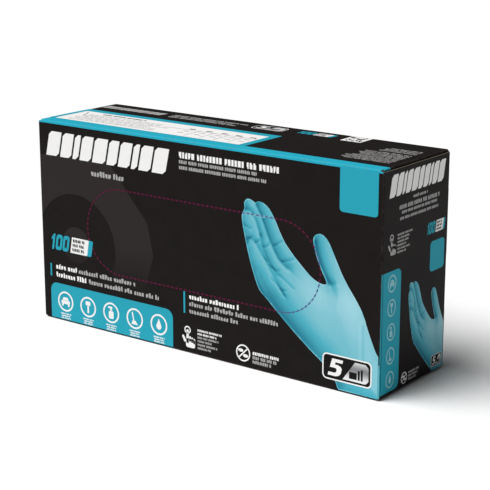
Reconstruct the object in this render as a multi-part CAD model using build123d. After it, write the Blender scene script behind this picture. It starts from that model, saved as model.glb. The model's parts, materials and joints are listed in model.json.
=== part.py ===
"""Retail dispenser carton of one hundred disposable gloves.

A glued "seal end" carton stands on its long narrow panel. One blank of
paperboard makes the sleeve (back, top, front, bottom and a glue flap inside the back), and each
end closes with two dust flaps, an inner flap and an outer flap. A perforated window in the front
panel tears out, and the gloves come through it one by one. Millimetres, +Z up, the origin is
under the middle of the carton, the front faces -Y.
"""
from build123d import *
from math import atan2, degrees
import os

# Carton, outside
LENGTH = 240.0
DEPTH = 67.0
HEIGHT = 122.0
BOARD = 0.5
FOLD_R = 0.8
GLUE_GAP = 0.15
GLUE_CLEAR = 0.02

# Dispensing window: a round-ended slot
WINDOW_LENGTH = 165.0
WINDOW_HEIGHT = 51.0
WINDOW_Z = 62.0
CUT_GAP = 0.15
NICK_PITCH = 3.1
NICK_WIDTH = 1.3
NICK_CLEAR = 0.02

# End flaps
HINGE_CLEAR = 0.05
FOLD_OVERRUN = 50.0
OUTER_FREE_EDGE = 2.0
OUTER_SETBACK = 1.2
INNER_LENGTH = 36.0
INNER_SETBACK = 1.5
INNER_CORNER_R = 3.0
OUTER_CORNER_R = 1.2
DUST_LENGTH = 28.0
DUST_FRONT_TAPER = 0.55
DUST_BACK_TAPER = 0.72
DUST_SETBACK = 2.1
GLUE_DOT_R = 3.5

# Sleeve seam
GLUE_FLAP_HEIGHT = 15.0
GLUE_FLAP_TAPER = 6.0
SEAM_BAND = (4.0, 12.0)
SEAM_LENGTH = 220.0
RAW_EDGE_Z = 0.3

# Gloves
GLOVES_PER_LAYER = 11
LAYERS = 9
FILM = 0.127
GLOVE_THICK = 2 * FILM
GLOVE_PITCH = 0.545
STACK_BACK_GAP = 0.35
GLOVE_LENGTH = 225.0
THUMB_R = 12.5
FIRST_GLOVE_SIZE = (115.0, 38.0)
FIRST_GLOVE_FOLDS = 4
FIRST_GLOVE_GAP = 1.2
FIRST_GLOVE_CORNER_R = 8.0

# Places that follow from the sizes above
HALF_L = LENGTH / 2
HALF_D = DEPTH / 2
FOLD_IN = FOLD_R - BOARD
FOLD_Y = HALF_D - FOLD_R
FOLD_TOP_Z = HEIGHT - FOLD_R
LAYER_STEP = BOARD + GLUE_GAP
OUTER_AXIS_X = HALF_L - FOLD_R
INNER_AXIS_X = OUTER_AXIS_X - LAYER_STEP
DUST_AXIS_X = INNER_AXIS_X - LAYER_STEP
SEAM_FOLD_Y = FOLD_Y - LAYER_STEP
MID_Z = HEIGHT / 2


def block(x, y, z):
    """A box between two limits along each axis."""
    size = [high - low for low, high in (x, y, z)]
    centre = [(high + low) / 2 for low, high in (x, y, z)]
    return Pos(*centre) * Box(*size)


def fold(plane, start, end, length):
    """The bent board of a crease: a ring sector about the plane's origin, drawn out both ways."""
    sweep = end - start
    outer = CenterArc((0, 0), FOLD_R, start, sweep)
    inner = CenterArc((0, 0), FOLD_IN, start, sweep)
    ring = make_face(Curve() + [outer, inner, Line(outer @ 0, inner @ 0), Line(outer @ 1, inner @ 1)])
    return extrude(plane * ring, amount=length / 2, both=True)


def upright_axis(x, y):
    return Plane(origin=(x, y, MID_Z), x_dir=(1, 0, 0), z_dir=(0, 0, 1))


def cross_axis(x, z):
    return Plane(origin=(x, 0, z), x_dir=(1, 0, 0), z_dir=(0, -1, 0))


def long_axis(y, z):
    return Plane(origin=(0, y, z), x_dir=(0, 1, 0), z_dir=(1, 0, 0))


def both_ends(part):
    return part + mirror(part, about=Plane.YZ)


def hinge_bore(plane, length):
    """What a flap gives up round its crease, so that it turns without touching the fold."""
    return extrude(plane * Circle(FOLD_R + HINGE_CLEAR), amount=length / 2, both=True)


def window(inset):
    """The window's outline, shrunk by an inset, about its own middle."""
    return SlotCenterToCenter(WINDOW_LENGTH - WINDOW_HEIGHT, WINDOW_HEIGHT - 2 * inset)


def window_plane():
    return Plane(origin=(0, -HALF_D, WINDOW_Z), x_dir=(1, 0, 0), z_dir=(0, -1, 0))


def front_panel():
    sheet = block((-OUTER_AXIS_X, OUTER_AXIS_X), (-HALF_D, BOARD - HALF_D), (FOLD_R, FOLD_TOP_Z))
    sheet -= extrude(window_plane() * window(0), amount=BOARD, both=True)
    length = HEIGHT - 2 * OUTER_SETBACK
    return sheet + both_ends(fold(upright_axis(OUTER_AXIS_X, -FOLD_Y), -90, FOLD_OVERRUN, length))


def tear_out_panel():
    """The window's board, with the nicks of its perforation standing into the cut."""
    face = window(CUT_GAP)
    rim = face.face().outer_wire()
    count = round(rim.length / NICK_PITCH)
    nick = Rectangle(NICK_WIDTH, 2 * (CUT_GAP - NICK_CLEAR))
    nicks = []
    for step in range(count):
        at = rim.position_at(step / count)
        along = rim.tangent_at(step / count)
        nicks.append(Pos(at.X, at.Y) * Rot(0, 0, degrees(atan2(along.Y, along.X))) * nick)
    return extrude(window_plane() * (face + nicks), amount=-BOARD)


def back_panel():
    sheet = block((-INNER_AXIS_X, INNER_AXIS_X), (HALF_D - BOARD, HALF_D), (RAW_EDGE_Z, FOLD_TOP_Z))
    length = HEIGHT - 2 * INNER_SETBACK
    return sheet + both_ends(fold(upright_axis(INNER_AXIS_X, FOLD_Y), -FOLD_OVERRUN, 90, length))


def dust_folds(z, start, end):
    width = 2 * (HALF_D - DUST_SETBACK)
    return both_ends(fold(cross_axis(DUST_AXIS_X, z), start, end, width))


def top_panel():
    sheet = block((-DUST_AXIS_X, DUST_AXIS_X), (-FOLD_Y, FOLD_Y), (HEIGHT - BOARD, HEIGHT))
    sheet += fold(long_axis(-FOLD_Y, FOLD_TOP_Z), 90, 180, 2 * DUST_AXIS_X)
    sheet += fold(long_axis(FOLD_Y, FOLD_TOP_Z), 0, 90, 2 * DUST_AXIS_X)
    return sheet + dust_folds(FOLD_TOP_Z, -FOLD_OVERRUN, 90)


def bottom_panel():
    sheet = block((-DUST_AXIS_X, DUST_AXIS_X), (-FOLD_Y, SEAM_FOLD_Y), (0, BOARD))
    sheet += fold(long_axis(-FOLD_Y, FOLD_R), 180, 270, 2 * DUST_AXIS_X)
    sheet += fold(long_axis(SEAM_FOLD_Y, FOLD_R), 270, 360, 2 * DUST_AXIS_X)
    return sheet + dust_folds(FOLD_R, -90, FOLD_OVERRUN)


def glue_flap():
    foot, tip = DUST_AXIS_X, DUST_AXIS_X - GLUE_FLAP_TAPER
    outline = Polygon((-foot, FOLD_R), (foot, FOLD_R), (tip, GLUE_FLAP_HEIGHT),
                      (-tip, GLUE_FLAP_HEIGHT), align=None)
    inside = SEAM_FOLD_Y + FOLD_IN
    return extrude(Plane(origin=(0, inside, 0), x_dir=(1, 0, 0), z_dir=(0, -1, 0)) * outline,
                   amount=-BOARD)


def seam_glue():
    outside = SEAM_FOLD_Y + FOLD_R
    half = SEAM_LENGTH / 2
    return block((-half, half), (outside, HALF_D - BOARD), SEAM_BAND)


def outer_flap():
    free = HALF_D - OUTER_FREE_EDGE
    sheet = block((HALF_L - BOARD, HALF_L), (-FOLD_Y, free),
                  (OUTER_SETBACK, HEIGHT - OUTER_SETBACK))
    corners = sheet.edges().filter_by(Axis.X).group_by(Axis.Y)[-1]
    sheet = fillet(corners, OUTER_CORNER_R)
    return sheet - hinge_bore(upright_axis(OUTER_AXIS_X, -FOLD_Y), HEIGHT)


def inner_flap():
    outside = INNER_AXIS_X + FOLD_R
    sheet = block((outside - BOARD, outside), (FOLD_Y - INNER_LENGTH, FOLD_Y),
                  (INNER_SETBACK, HEIGHT - INNER_SETBACK))
    corners = sheet.edges().filter_by(Axis.X).group_by(Axis.Y)[0]
    sheet = fillet(corners, INNER_CORNER_R)
    return sheet - hinge_bore(upright_axis(INNER_AXIS_X, FOLD_Y), HEIGHT)


def top_dust_flap():
    """Tapered on both sides, so that it clears the two wide flaps while they all open."""
    half = HALF_D - DUST_SETBACK
    tip_z = FOLD_TOP_Z - DUST_LENGTH
    outline = Polygon((half, FOLD_TOP_Z), (-half, FOLD_TOP_Z),
                      (DUST_FRONT_TAPER * DUST_LENGTH - half, tip_z),
                      (half - DUST_BACK_TAPER * DUST_LENGTH, tip_z), align=None)
    inside = DUST_AXIS_X + FOLD_IN
    sheet = extrude(Plane(origin=(inside, 0, 0), x_dir=(0, 1, 0), z_dir=(1, 0, 0)) * outline,
                    amount=BOARD)
    return sheet - hinge_bore(cross_axis(DUST_AXIS_X, FOLD_TOP_Z), DEPTH)


def upside_down(part):
    return mirror(part, about=Plane(origin=(0, 0, MID_Z), z_dir=(0, 0, 1)))


def glue_dots(outside, places):
    """Flattened dots of hot-melt, just clear of the flap behind them."""
    dots = []
    for y, z in places:
        plane = Plane(origin=(outside - GLUE_CLEAR, y, z), x_dir=(0, 1, 0), z_dir=(-1, 0, 0))
        dots.append(extrude(plane * Circle(GLUE_DOT_R), amount=-(GLUE_GAP - GLUE_CLEAR)))
    return dots


def outer_glue():
    """Six dots on the inside of the outer flap, over the inner flap."""
    inside = HALF_L - BOARD
    places = [(y, MID_Z + 40 * row) for y in (6.0, 22.0) for row in (-1, 0, 1)]
    return glue_dots(inside - GLUE_GAP + 2 * GLUE_CLEAR, places)


def inner_glue():
    """Two dots on the inside of the inner flap, over each dust flap."""
    inside = INNER_AXIS_X + FOLD_IN
    reach = MID_Z - 0.4 * DUST_LENGTH
    places = [(y, MID_Z + side * reach) for y in (3.0, 14.0) for side in (-1, 1)]
    return glue_dots(inside - GLUE_GAP + 2 * GLUE_CLEAR, places)


def glove_outline():
    """A glove lying flat: cuff to the left, four fingers to the right, thumb upwards."""
    end = GLOVE_LENGTH / 2
    palm = Polygon((-end, -43), (-70, -41), (-30, -48), (24, -49), (24, 46), (-20, 46),
                   (-70, 41), (-end, 43), align=None)
    fingers = [(33.5, 89.0, 12.0), (9.5, end - 12.5, 12.5), (-15.0, 92.0, 12.0), (-37.5, 72.0, 11.0)]
    slots = [Pos(reach / 2, across) * SlotCenterToCenter(reach, 2 * radius)
             for across, reach, radius in fingers]
    thumb = Line((-48.0, 24.0), (38.0, 45.5))
    middle = thumb @ 0.5
    slots.append(Pos(middle.X, middle.Y) * Rot(0, 0, thumb.tangent_angle_at(0))
                 * SlotCenterToCenter(thumb.length, 2 * THUMB_R))
    return palm + slots


def glove_layer(outline, layer):
    """Eleven gloves of the stack, cuffs left and right in turn, thumbs up and down in turn."""
    back = HALF_D - BOARD - LAYER_STEP - STACK_BACK_GAP
    gloves = []
    for index in range(GLOVES_PER_LAYER):
        count = layer * GLOVES_PER_LAYER + index
        y = back - count * GLOVE_PITCH
        turn = 180 * (count % 2)
        plane = Plane(origin=(0, y, MID_Z), x_dir=(1, 0, 0), z_dir=(0, -1, 0))
        gloves.append(extrude(plane * (Rot(0, 0, turn) * outline), amount=GLOVE_THICK))
    return gloves


def first_glove():
    """The glove on offer behind the window, folded in four."""
    stack = LAYERS * GLOVES_PER_LAYER * GLOVE_PITCH
    back = HALF_D - BOARD - LAYER_STEP - STACK_BACK_GAP - stack - FIRST_GLOVE_GAP
    outline = RectangleRounded(*FIRST_GLOVE_SIZE, FIRST_GLOVE_CORNER_R)
    plane = Plane(origin=(0, back, WINDOW_Z), x_dir=(1, 0, 0), z_dir=(0, -1, 0))
    return extrude(plane * outline, amount=GLOVE_THICK * FIRST_GLOVE_FOLDS)


def save(name, solids):
    group = solids if isinstance(solids, list) else [solids]
    shapes = [solid for part in group for solid in part.solids()]
    shape = shapes[0] if len(shapes) == 1 else Compound(children=shapes)
    shape.label = name
    export_step(shape, f"parts/{name}.step")


def main():
    os.makedirs("parts", exist_ok=True)
    save("front_panel", front_panel())
    save("tear_out_panel", tear_out_panel())
    save("top_panel", top_panel())
    save("back_panel", back_panel())
    save("bottom_panel", bottom_panel())
    save("glue_flap", glue_flap())
    save("seam_glue", seam_glue())
    right = {
        "outer_flap": [outer_flap()],
        "inner_flap": [inner_flap()],
        "top_dust_flap": [top_dust_flap()],
        "bottom_dust_flap": [upside_down(top_dust_flap())],
        "outer_glue": outer_glue(),
        "inner_glue": inner_glue(),
    }
    for name, parts in right.items():
        save(f"right_{name}", parts)
        save(f"left_{name}", [mirror(part, about=Plane.YZ) for part in parts])
    save("first_glove", first_glove())
    outline = glove_outline()
    for layer in range(LAYERS):
        save(f"glove_layer_{layer + 1:02d}", glove_layer(outline, layer))


main()
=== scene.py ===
"""A dispenser carton of disposable gloves: its board, its printing, the gloves inside and a plain studio."""

import json
import logging
import math
import random
from dataclasses import dataclass, field
from enum import Enum
from typing import Callable, Sequence

import bmesh
import bpy
import numpy as np
from bpy.types import Material, Mesh, Node, Object
from mathutils import Matrix, Vector
from mathutils.geometry import delaunay_2d_cdt

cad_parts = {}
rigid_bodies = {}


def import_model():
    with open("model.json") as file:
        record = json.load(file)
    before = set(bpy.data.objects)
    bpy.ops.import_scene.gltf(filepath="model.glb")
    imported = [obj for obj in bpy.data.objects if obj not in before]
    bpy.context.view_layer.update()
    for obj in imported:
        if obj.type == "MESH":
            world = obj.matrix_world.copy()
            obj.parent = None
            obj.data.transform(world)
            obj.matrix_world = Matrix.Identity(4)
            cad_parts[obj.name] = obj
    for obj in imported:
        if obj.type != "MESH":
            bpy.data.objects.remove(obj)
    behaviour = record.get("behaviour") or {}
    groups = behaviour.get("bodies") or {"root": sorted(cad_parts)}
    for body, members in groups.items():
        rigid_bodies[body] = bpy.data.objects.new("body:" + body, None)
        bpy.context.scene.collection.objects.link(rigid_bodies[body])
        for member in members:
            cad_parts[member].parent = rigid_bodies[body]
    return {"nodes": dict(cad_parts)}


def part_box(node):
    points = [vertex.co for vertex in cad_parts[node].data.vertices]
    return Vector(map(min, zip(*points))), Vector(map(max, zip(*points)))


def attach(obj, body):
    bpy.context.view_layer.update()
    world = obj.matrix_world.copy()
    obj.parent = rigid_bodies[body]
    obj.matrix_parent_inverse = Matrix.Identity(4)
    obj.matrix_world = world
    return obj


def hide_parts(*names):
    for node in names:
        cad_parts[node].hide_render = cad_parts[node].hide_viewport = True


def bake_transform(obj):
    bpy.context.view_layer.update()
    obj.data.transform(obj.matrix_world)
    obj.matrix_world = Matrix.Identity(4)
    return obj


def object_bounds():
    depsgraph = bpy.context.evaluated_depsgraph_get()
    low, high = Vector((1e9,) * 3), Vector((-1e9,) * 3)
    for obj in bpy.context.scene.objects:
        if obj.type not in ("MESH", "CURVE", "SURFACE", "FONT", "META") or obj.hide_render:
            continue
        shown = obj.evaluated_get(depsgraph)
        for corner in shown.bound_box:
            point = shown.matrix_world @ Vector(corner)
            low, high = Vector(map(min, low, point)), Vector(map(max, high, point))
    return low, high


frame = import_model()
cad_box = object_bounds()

LOG = logging.getLogger("glove_carton")
MM = 0.001
INK = 0.022  # one coat of ink, mm
INK_LIFT = 0.002  # the first coat's underside above the board, mm
PRINT_SEED = 11
WRINKLE_SEED = 3
STACK_SEED = 77

Point = tuple[float, float]
Colour = tuple[float, float, float, float]


# ---------------------------------------------------------------- small helpers


def paint(red: int, green: int, blue: int) -> Colour:
    """A shader colour from the 0 to 255 numbers on a paint card.

    Args:
        red: The red number.
        green: The green number.
        blue: The blue number.

    Returns:
        The colour in linear light, with full alpha.
    """
    parts = [c / 255 for c in (red, green, blue)]
    light = [c / 12.92 if c <= 0.04045 else ((c + 0.055) / 1.055) ** 2.4 for c in parts]
    return (light[0], light[1], light[2], 1.0)


def pick(*chosen: Object) -> None:
    """Selects only these objects and makes the first one active."""
    for other in bpy.context.view_layer.objects:
        other.select_set(False)
    for one in chosen:
        one.select_set(True)
    bpy.context.view_layer.objects.active = chosen[0] if chosen else None


def edit(obj: Object) -> None:
    """Opens one object in edit mode."""
    pick(obj)
    bpy.ops.object.mode_set(mode="EDIT")


def close_edit() -> None:
    """Goes back to object mode."""
    bpy.ops.object.mode_set(mode="OBJECT")


def mark(obj: Object, wanted: Callable[[Vector], bool], kind: str) -> None:
    """Selects the vertices or faces of a mesh by their place.

    Args:
        obj: The object, in object mode.
        wanted: Says yes to the place of an element that is to be selected.
        kind: VERT or FACE.
    """
    pick(obj)
    bpy.ops.object.mode_set(mode="EDIT")
    bpy.ops.mesh.select_mode(type=kind)
    bpy.ops.mesh.select_all(action="DESELECT")
    bpy.ops.object.mode_set(mode="OBJECT")
    if kind == "VERT":
        for vertex in obj.data.vertices:
            vertex.select = wanted(vertex.co)
    else:
        for face in obj.data.polygons:
            face.select = wanted(face.center)
    bpy.ops.object.mode_set(mode="EDIT")


def modify(obj: Object, kind: str, **settings: object) -> None:
    """Adds a modifier to an object and applies it.

    Args:
        obj: The object.
        kind: The modifier's type.
        settings: The modifier's own settings.
    """
    pick(obj)
    modifier = obj.modifiers.new(kind.lower(), kind)
    for key, value in settings.items():
        setattr(modifier, key, value)
    bpy.ops.object.modifier_apply(modifier=modifier.name)


def take_mesh(obj: Object) -> Mesh:
    """Removes an object and hands over its mesh."""
    mesh = obj.data
    bpy.data.objects.remove(obj)
    return mesh


def show(name: str, mesh: Mesh, material: Material | None, body: str) -> Object:
    """Puts a finished mesh into the scene as a piece that rides on a body.

    Args:
        name: The piece's name.
        mesh: The mesh, in the row frame.
        material: Its finish, or None if the mesh has one.
        body: The body that it rides on.

    Returns:
        The piece.
    """
    obj = bpy.data.objects.new(name, mesh)
    bpy.context.scene.collection.objects.link(obj)
    mesh.name = name
    if material is not None:
        mesh.materials.clear()
        mesh.materials.append(material)
    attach(obj, body)
    return obj


# ---------------------------------------------------------------- shader writing


class Wire:
    """The output of a node, which takes part in Python sums and so adds Math nodes."""

    def __init__(self, graph: "Graph", socket: bpy.types.NodeSocket) -> None:
        """Keeps the graph and the socket."""
        self.graph = graph
        self.socket = socket

    def _sum(self, operation: str, first: object, second: object) -> "Wire":
        """One Math node of two values."""
        return self.graph.wire("ShaderNodeMath", {"operation": operation}, {0: first, 1: second})

    def __add__(self, other: object) -> "Wire":
        """self + other"""
        return self._sum("ADD", self, other)

    __radd__ = __add__

    def __sub__(self, other: object) -> "Wire":
        """self - other"""
        return self._sum("SUBTRACT", self, other)

    def __rsub__(self, other: object) -> "Wire":
        """other - self"""
        return self._sum("SUBTRACT", other, self)

    def __mul__(self, other: object) -> "Wire":
        """self * other"""
        return self._sum("MULTIPLY", self, other)

    __rmul__ = __mul__

    def __truediv__(self, other: object) -> "Wire":
        """self / other"""
        return self._sum("DIVIDE", self, other)

    def __abs__(self) -> "Wire":
        """The value without its sign."""
        return self._sum("ABSOLUTE", self, 0.0)

    def least(self, other: object) -> "Wire":
        """The smaller of the two."""
        return self._sum("MINIMUM", self, other)

    def most(self, other: object) -> "Wire":
        """The larger of the two."""
        return self._sum("MAXIMUM", self, other)

    def clamped(self) -> "Wire":
        """The value held between 0 and 1."""
        return self.most(0.0).least(1.0)

    def above(self, edge: float, width: float) -> "Wire":
        """0 below edge, 1 above it, with a ramp of that width between."""
        return ((self - edge) * (1.0 / width) + 0.5).clamped()


class Graph:
    """The nodes of one material."""

    def __init__(self, name: str) -> None:
        """Makes an empty node material with its output and its principled shader."""
        self.material = bpy.data.materials.new(name)
        self.material.use_nodes = True
        self.tree = self.material.node_tree
        self.tree.nodes.clear()
        self.shader = self.node("ShaderNodeBsdfPrincipled")
        output = self.node("ShaderNodeOutputMaterial")
        self.tree.links.new(self.shader.outputs[0], output.inputs["Surface"])

    def node(self, kind: str, settings: dict | None = None, inputs: dict | None = None) -> Node:
        """Adds a node.

        Args:
            kind: The node's type.
            settings: Its own settings, set first. A ramp's stops are (place, colour) pairs.
            inputs: Values or wires for its sockets, by name or number.

        Returns:
            The node.
        """
        node = self.tree.nodes.new(kind)
        for key, value in (settings or {}).items():
            if key == "stops":
                self._set_stops(node.color_ramp, value)
            else:
                setattr(node, key, value)
        for key, value in (inputs or {}).items():
            self.feed(node, key, value)
        return node

    @staticmethod
    def _set_stops(ramp: bpy.types.ColorRamp, stops: Sequence[tuple[float, Colour]]) -> None:
        """Gives a ramp its stops."""
        while len(ramp.elements) < len(stops):
            ramp.elements.new(1.0)
        for element, (place, colour) in zip(ramp.elements, stops):
            element.position = place
            element.color = colour

    def feed(self, node: Node, key: str | int, value: object) -> None:
        """Links a wire to a socket, or sets the socket's value."""
        if isinstance(value, Wire):
            self.tree.links.new(value.socket, node.inputs[key])
        else:
            node.inputs[key].default_value = value

    def wire(
        self,
        kind: str,
        settings: dict | None = None,
        inputs: dict | None = None,
        output: str | int = 0,
    ) -> Wire:
        """Adds a node as node() does and returns one of its outputs as a wire."""
        return Wire(self, self.node(kind, settings, inputs).outputs[output])

    def place(self) -> Wire:
        """The place on the piece, in metres, in the row frame at rest."""
        return self.wire("ShaderNodeTexCoord", output="Object")

    def noise(self, scale: float, detail: float = 2.0, stretch: Vector | None = None) -> Wire:
        """Smooth noise over the piece.

        Args:
            scale: How many lumps there are to a metre.
            detail: How much fine detail there is.
            stretch: A factor for each axis, for grain that runs one way.

        Returns:
            The noise, from 0 to 1.
        """
        at = self.place()
        if stretch is not None:
            at = self.wire("ShaderNodeMapping", None, {"Vector": at, "Scale": stretch})
        sockets = {"Vector": at, "Scale": scale, "Detail": detail, "Roughness": 0.55}
        return self.wire("ShaderNodeTexNoise", None, sockets)

    def mix(self, share: object, first: object, second: object) -> Wire:
        """A colour between two others.

        Args:
            share: 0 for the first and 1 for the second.
            first: The first colour.
            second: The second colour.

        Returns:
            The mixed colour.
        """
        settings = {"data_type": "RGBA", "clamp_factor": True}
        return self.wire("ShaderNodeMix", settings, {0: share, 6: first, 7: second}, 2)

    def relief(self, height: Wire, depth: float, strength: float = 1.0) -> Wire:
        """A bump from a height of 0 to 1, depth metres deep."""
        sockets = {"Height": height, "Distance": depth, "Strength": strength}
        return self.wire("ShaderNodeBump", None, sockets, "Normal")

    def split(self, vector: Wire) -> tuple[Wire, Wire, Wire]:
        """The three numbers of a vector."""
        node = self.node("ShaderNodeSeparateXYZ", None, {0: vector})
        return tuple(Wire(self, node.outputs[i]) for i in range(3))

    def finish(self, **sockets: object) -> Material:
        """Feeds the principled shader and hands over the material.

        Args:
            sockets: Values or wires by socket name, with _ for a space.

        Returns:
            The material.
        """
        for key, value in sockets.items():
            self.feed(self.shader, key.replace("_", " "), value)
        return self.material


# ---------------------------------------------------------------- finishes

BLACK = paint(27, 24, 23)
TEAL = paint(44, 165, 186)
TEAL_BAND = paint(38, 170, 194)
PALE_TEAL = paint(158, 210, 216)
GHOST = paint(46, 42, 41)
WHITE = paint(243, 242, 240)
GREY = paint(176, 175, 174)
MAGENTA = paint(104, 26, 66)
MAUVE = paint(104, 128, 176)
FIBRE = paint(150, 138, 122)
FIBRE_DARK = paint(116, 105, 92)
CLAY = paint(226, 223, 214)

TOOTH_SCALE = 2600.0  # the board's fine tooth, waves per metre
TOOTH_SHARE = 0.35
TOOTH_DEPTH = 0.00003  # metres
PRINT_SPECULAR = 0.035
PRINT_COAT = 0.01
PRINT_COAT_ROUGHNESS = 0.28


class Coat(Enum):
    """What the printed side of a piece of board carries."""

    FLOOD = "flood"
    BLEED_FROM_BACK = "bleed from back"
    BLEED_FROM_TOP = "bleed from top and bottom"


@dataclass(frozen=True)
class Patch:
    """A box of the row frame, in metres, inside which the flood ink has another colour."""

    low: Vector
    high: Vector
    colour: Colour


@dataclass(frozen=True)
class BoardFinish:
    """Coated and printed outside, plain grey-brown fibre inside and on every cut edge.

    The printed side lies on the outside of a box with rounded edges.
    """

    name: str
    low: Vector
    high: Vector
    fold_radius: float
    coat: Coat = Coat.FLOOD
    patches: tuple[Patch, ...] = ()
    coat_depth: float = 0.00013
    # how far from a crease the rubbed ink and the painted crease highlight reach, in metres
    wear_and_highlight_reach: float = 0.0011
    bleed: float = 0.011

    def material(self) -> Material:
        """Builds the material."""
        graph = Graph(self.name)
        at = graph.place()
        centre = (self.low + self.high) / 2
        half = (self.high - self.low) / 2
        beyond = self._beyond(graph, at, centre, half, self.fold_radius)
        outside = graph.wire("ShaderNodeVectorMath", {"operation": "MAXIMUM"}, {0: beyond, 1: (0, 0, 0)})
        length = graph.wire("ShaderNodeVectorMath", {"operation": "LENGTH"}, {0: outside}, "Value")
        x, y, z = graph.split(beyond)
        depth = length + x.most(y).most(z).least(0.0) - self.fold_radius
        printed = depth.above(-self.coat_depth, 0.00002)
        wear_and_highlight = self._crease_wear_and_highlight(graph, at, centre, half)
        ink = self._ink(graph, at)
        fine = graph.noise(TOOTH_SCALE, 3.0)
        soft = graph.noise(55.0, 2.0)
        fibre = graph.noise(700.0, 4.0, Vector((1.0, 1.0, 2.6)))
        raw = graph.mix(fibre.above(0.52, 0.35), FIBRE_DARK, FIBRE)
        raw = graph.mix(fine.above(0.66, 0.1) * 0.5, raw, paint(196, 188, 172))
        # The crease mask lightens the ink towards brown-grey: rubbed ink and fibre specks, and a painted
        # highlight along the folds.
        ink = graph.mix(wear_and_highlight, ink, paint(108, 100, 92))
        colour = graph.mix(printed, raw, ink)
        gloss = 0.36 + fine * 0.10 + soft * 0.10 + wear_and_highlight * 0.25
        rough = printed * gloss + (1 - printed) * 0.9
        grain = fine * 0.35 + soft * 0.15 + fibre * (1 - printed) * 1.4
        warp = graph.noise(14.0, 1.0)
        bumped = graph.relief(grain, TOOTH_DEPTH)
        waved = graph.wire(
            "ShaderNodeBump",
            None,
            {"Height": warp, "Distance": 0.0006, "Strength": 0.6, "Normal": bumped},
            "Normal",
        )
        return graph.finish(
            Base_Color=colour,
            Roughness=rough,
            Normal=waved,
            Specular_IOR_Level=PRINT_SPECULAR,
            Coat_Weight=printed * PRINT_COAT,
            Coat_Roughness=PRINT_COAT_ROUGHNESS,
        )

    @staticmethod
    def _beyond(graph: Graph, at: Wire, centre: Vector, half: Vector, radius: float) -> Wire:
        """How far a place is beyond the box that is one radius smaller than the outside."""
        moved = graph.wire("ShaderNodeVectorMath", {"operation": "SUBTRACT"}, {0: at, 1: centre})
        sized = graph.wire("ShaderNodeVectorMath", {"operation": "ABSOLUTE"}, {0: moved})
        core = half - Vector((radius, radius, radius))
        return graph.wire("ShaderNodeVectorMath", {"operation": "SUBTRACT"}, {0: sized, 1: core})

    def _crease_wear_and_highlight(self, graph: Graph, at: Wire, centre: Vector, half: Vector) -> Wire:
        """Ink rubbed thin along the creases, and through to the fibre in specks at the corners. The lighter
        line along every crease is partly this rub and partly a painted highlight on the rounded fold.
        """
        near = self._beyond(graph, at, centre, half, self.wear_and_highlight_reach)
        x, y, z = (part.most(0.0) * (1 / self.wear_and_highlight_reach) for part in graph.split(near))
        crease = (x * y + y * z + z * x).clamped()
        corner = (x * y * z).clamped()
        rub = graph.noise(320.0, 4.0)
        speck = graph.noise(1900.0, 2.0)
        # painted highlight: this lighter line along every crease is partly rubbed ink and partly stands in
        # for light on the rounded fold
        thin = crease * rub.above(0.46, 0.3) * 0.22
        specks = crease * rub.above(0.56, 0.08) * speck.above(0.56, 0.1) * 0.7
        return (thin + specks + corner * 0.5).clamped()

    def _ink(self, graph: Graph, at: Wire) -> Wire:
        """The colour of the printed side."""
        cloud = graph.noise(130.0, 3.0)
        flood = graph.mix(cloud, paint(24, 21, 20), paint(31, 27, 26))
        for patch in self.patches:
            flood = graph.mix(self._inside(graph, at, patch), flood, patch.colour)
        if self.coat is Coat.FLOOD:
            return flood
        _, y, z = graph.split(at)
        ragged = (graph.noise(400.0, 3.0) - 0.5) * 0.0012
        if self.coat is Coat.BLEED_FROM_BACK:
            reach = self.high.y - y
        else:
            reach = (self.high.z - z).least(z - self.low.z)
        clay = graph.mix(graph.noise(900.0, 3.0), CLAY, paint(214, 210, 200))
        return graph.mix((reach + ragged).above(self.bleed, 0.00012), flood, clay)

    def _inside(self, graph: Graph, at: Wire, patch: Patch) -> Wire:
        """1 inside a patch's box and 0 outside it."""
        centre = (patch.low + patch.high) / 2
        half = (patch.high - patch.low) / 2
        x, y, z = graph.split(self._beyond(graph, at, centre, half, 0.0))
        return 1 - x.most(y).most(z).above(0.0, 0.00006)


@dataclass(frozen=True)
class InkFinish:
    """One printed colour, with the board's fine tooth under it."""

    name: str
    colour: Colour
    shade: float = 0.07
    roughness: float = 0.42
    fade_top: float | None = None  # where the colour is full, in metres above the table
    fade_bottom: float = 0.0

    def material(self) -> Material:
        """Builds the material."""
        graph = Graph(self.name)
        cloud = graph.noise(160.0, 3.0)
        fine = graph.noise(TOOTH_SCALE, 3.0)
        darker = tuple(c * (1 - 2 * self.shade) for c in self.colour[:3]) + (1.0,)
        colour = graph.mix(cloud * 0.6 + fine * 0.4, darker, self.colour)
        if self.fade_top is not None:
            height = graph.split(graph.place())[2]
            width = self.fade_top - self.fade_bottom
            colour = graph.mix(height.above((self.fade_top + self.fade_bottom) / 2, width), BLACK, colour)
        return graph.finish(
            Base_Color=colour,
            Roughness=fine * 0.12 + cloud * 0.08 + (self.roughness - 0.1),
            Normal=graph.relief(fine * TOOTH_SHARE, TOOTH_DEPTH),
            Specular_IOR_Level=PRINT_SPECULAR,
            Coat_Weight=PRINT_COAT,
            Coat_Roughness=PRINT_COAT_ROUGHNESS,
        )


@dataclass(frozen=True)
class BrightFinish:
    """Printed silver: bands of light and dark grey that run along the carton."""

    name: str
    band: float = 0.0125

    def material(self) -> Material:
        """Builds the material."""
        graph = Graph(self.name)
        height = graph.split(graph.place())[2]
        swing = graph.wire(
            "ShaderNodeMath", {"operation": "SINE"}, {0: height * (2 * math.pi / self.band) - 2.3}
        )
        fine = graph.noise(TOOTH_SCALE, 3.0)
        share = swing * 0.5 + 0.5 + (fine - 0.5) * 0.1
        return graph.finish(
            Base_Color=graph.mix(share, paint(132, 132, 134), paint(232, 232, 232)),
            Roughness=fine * 0.12 + 0.28,
            Normal=graph.relief(fine * TOOTH_SHARE, TOOTH_DEPTH),
            Specular_IOR_Level=PRINT_SPECULAR,
        )


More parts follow.
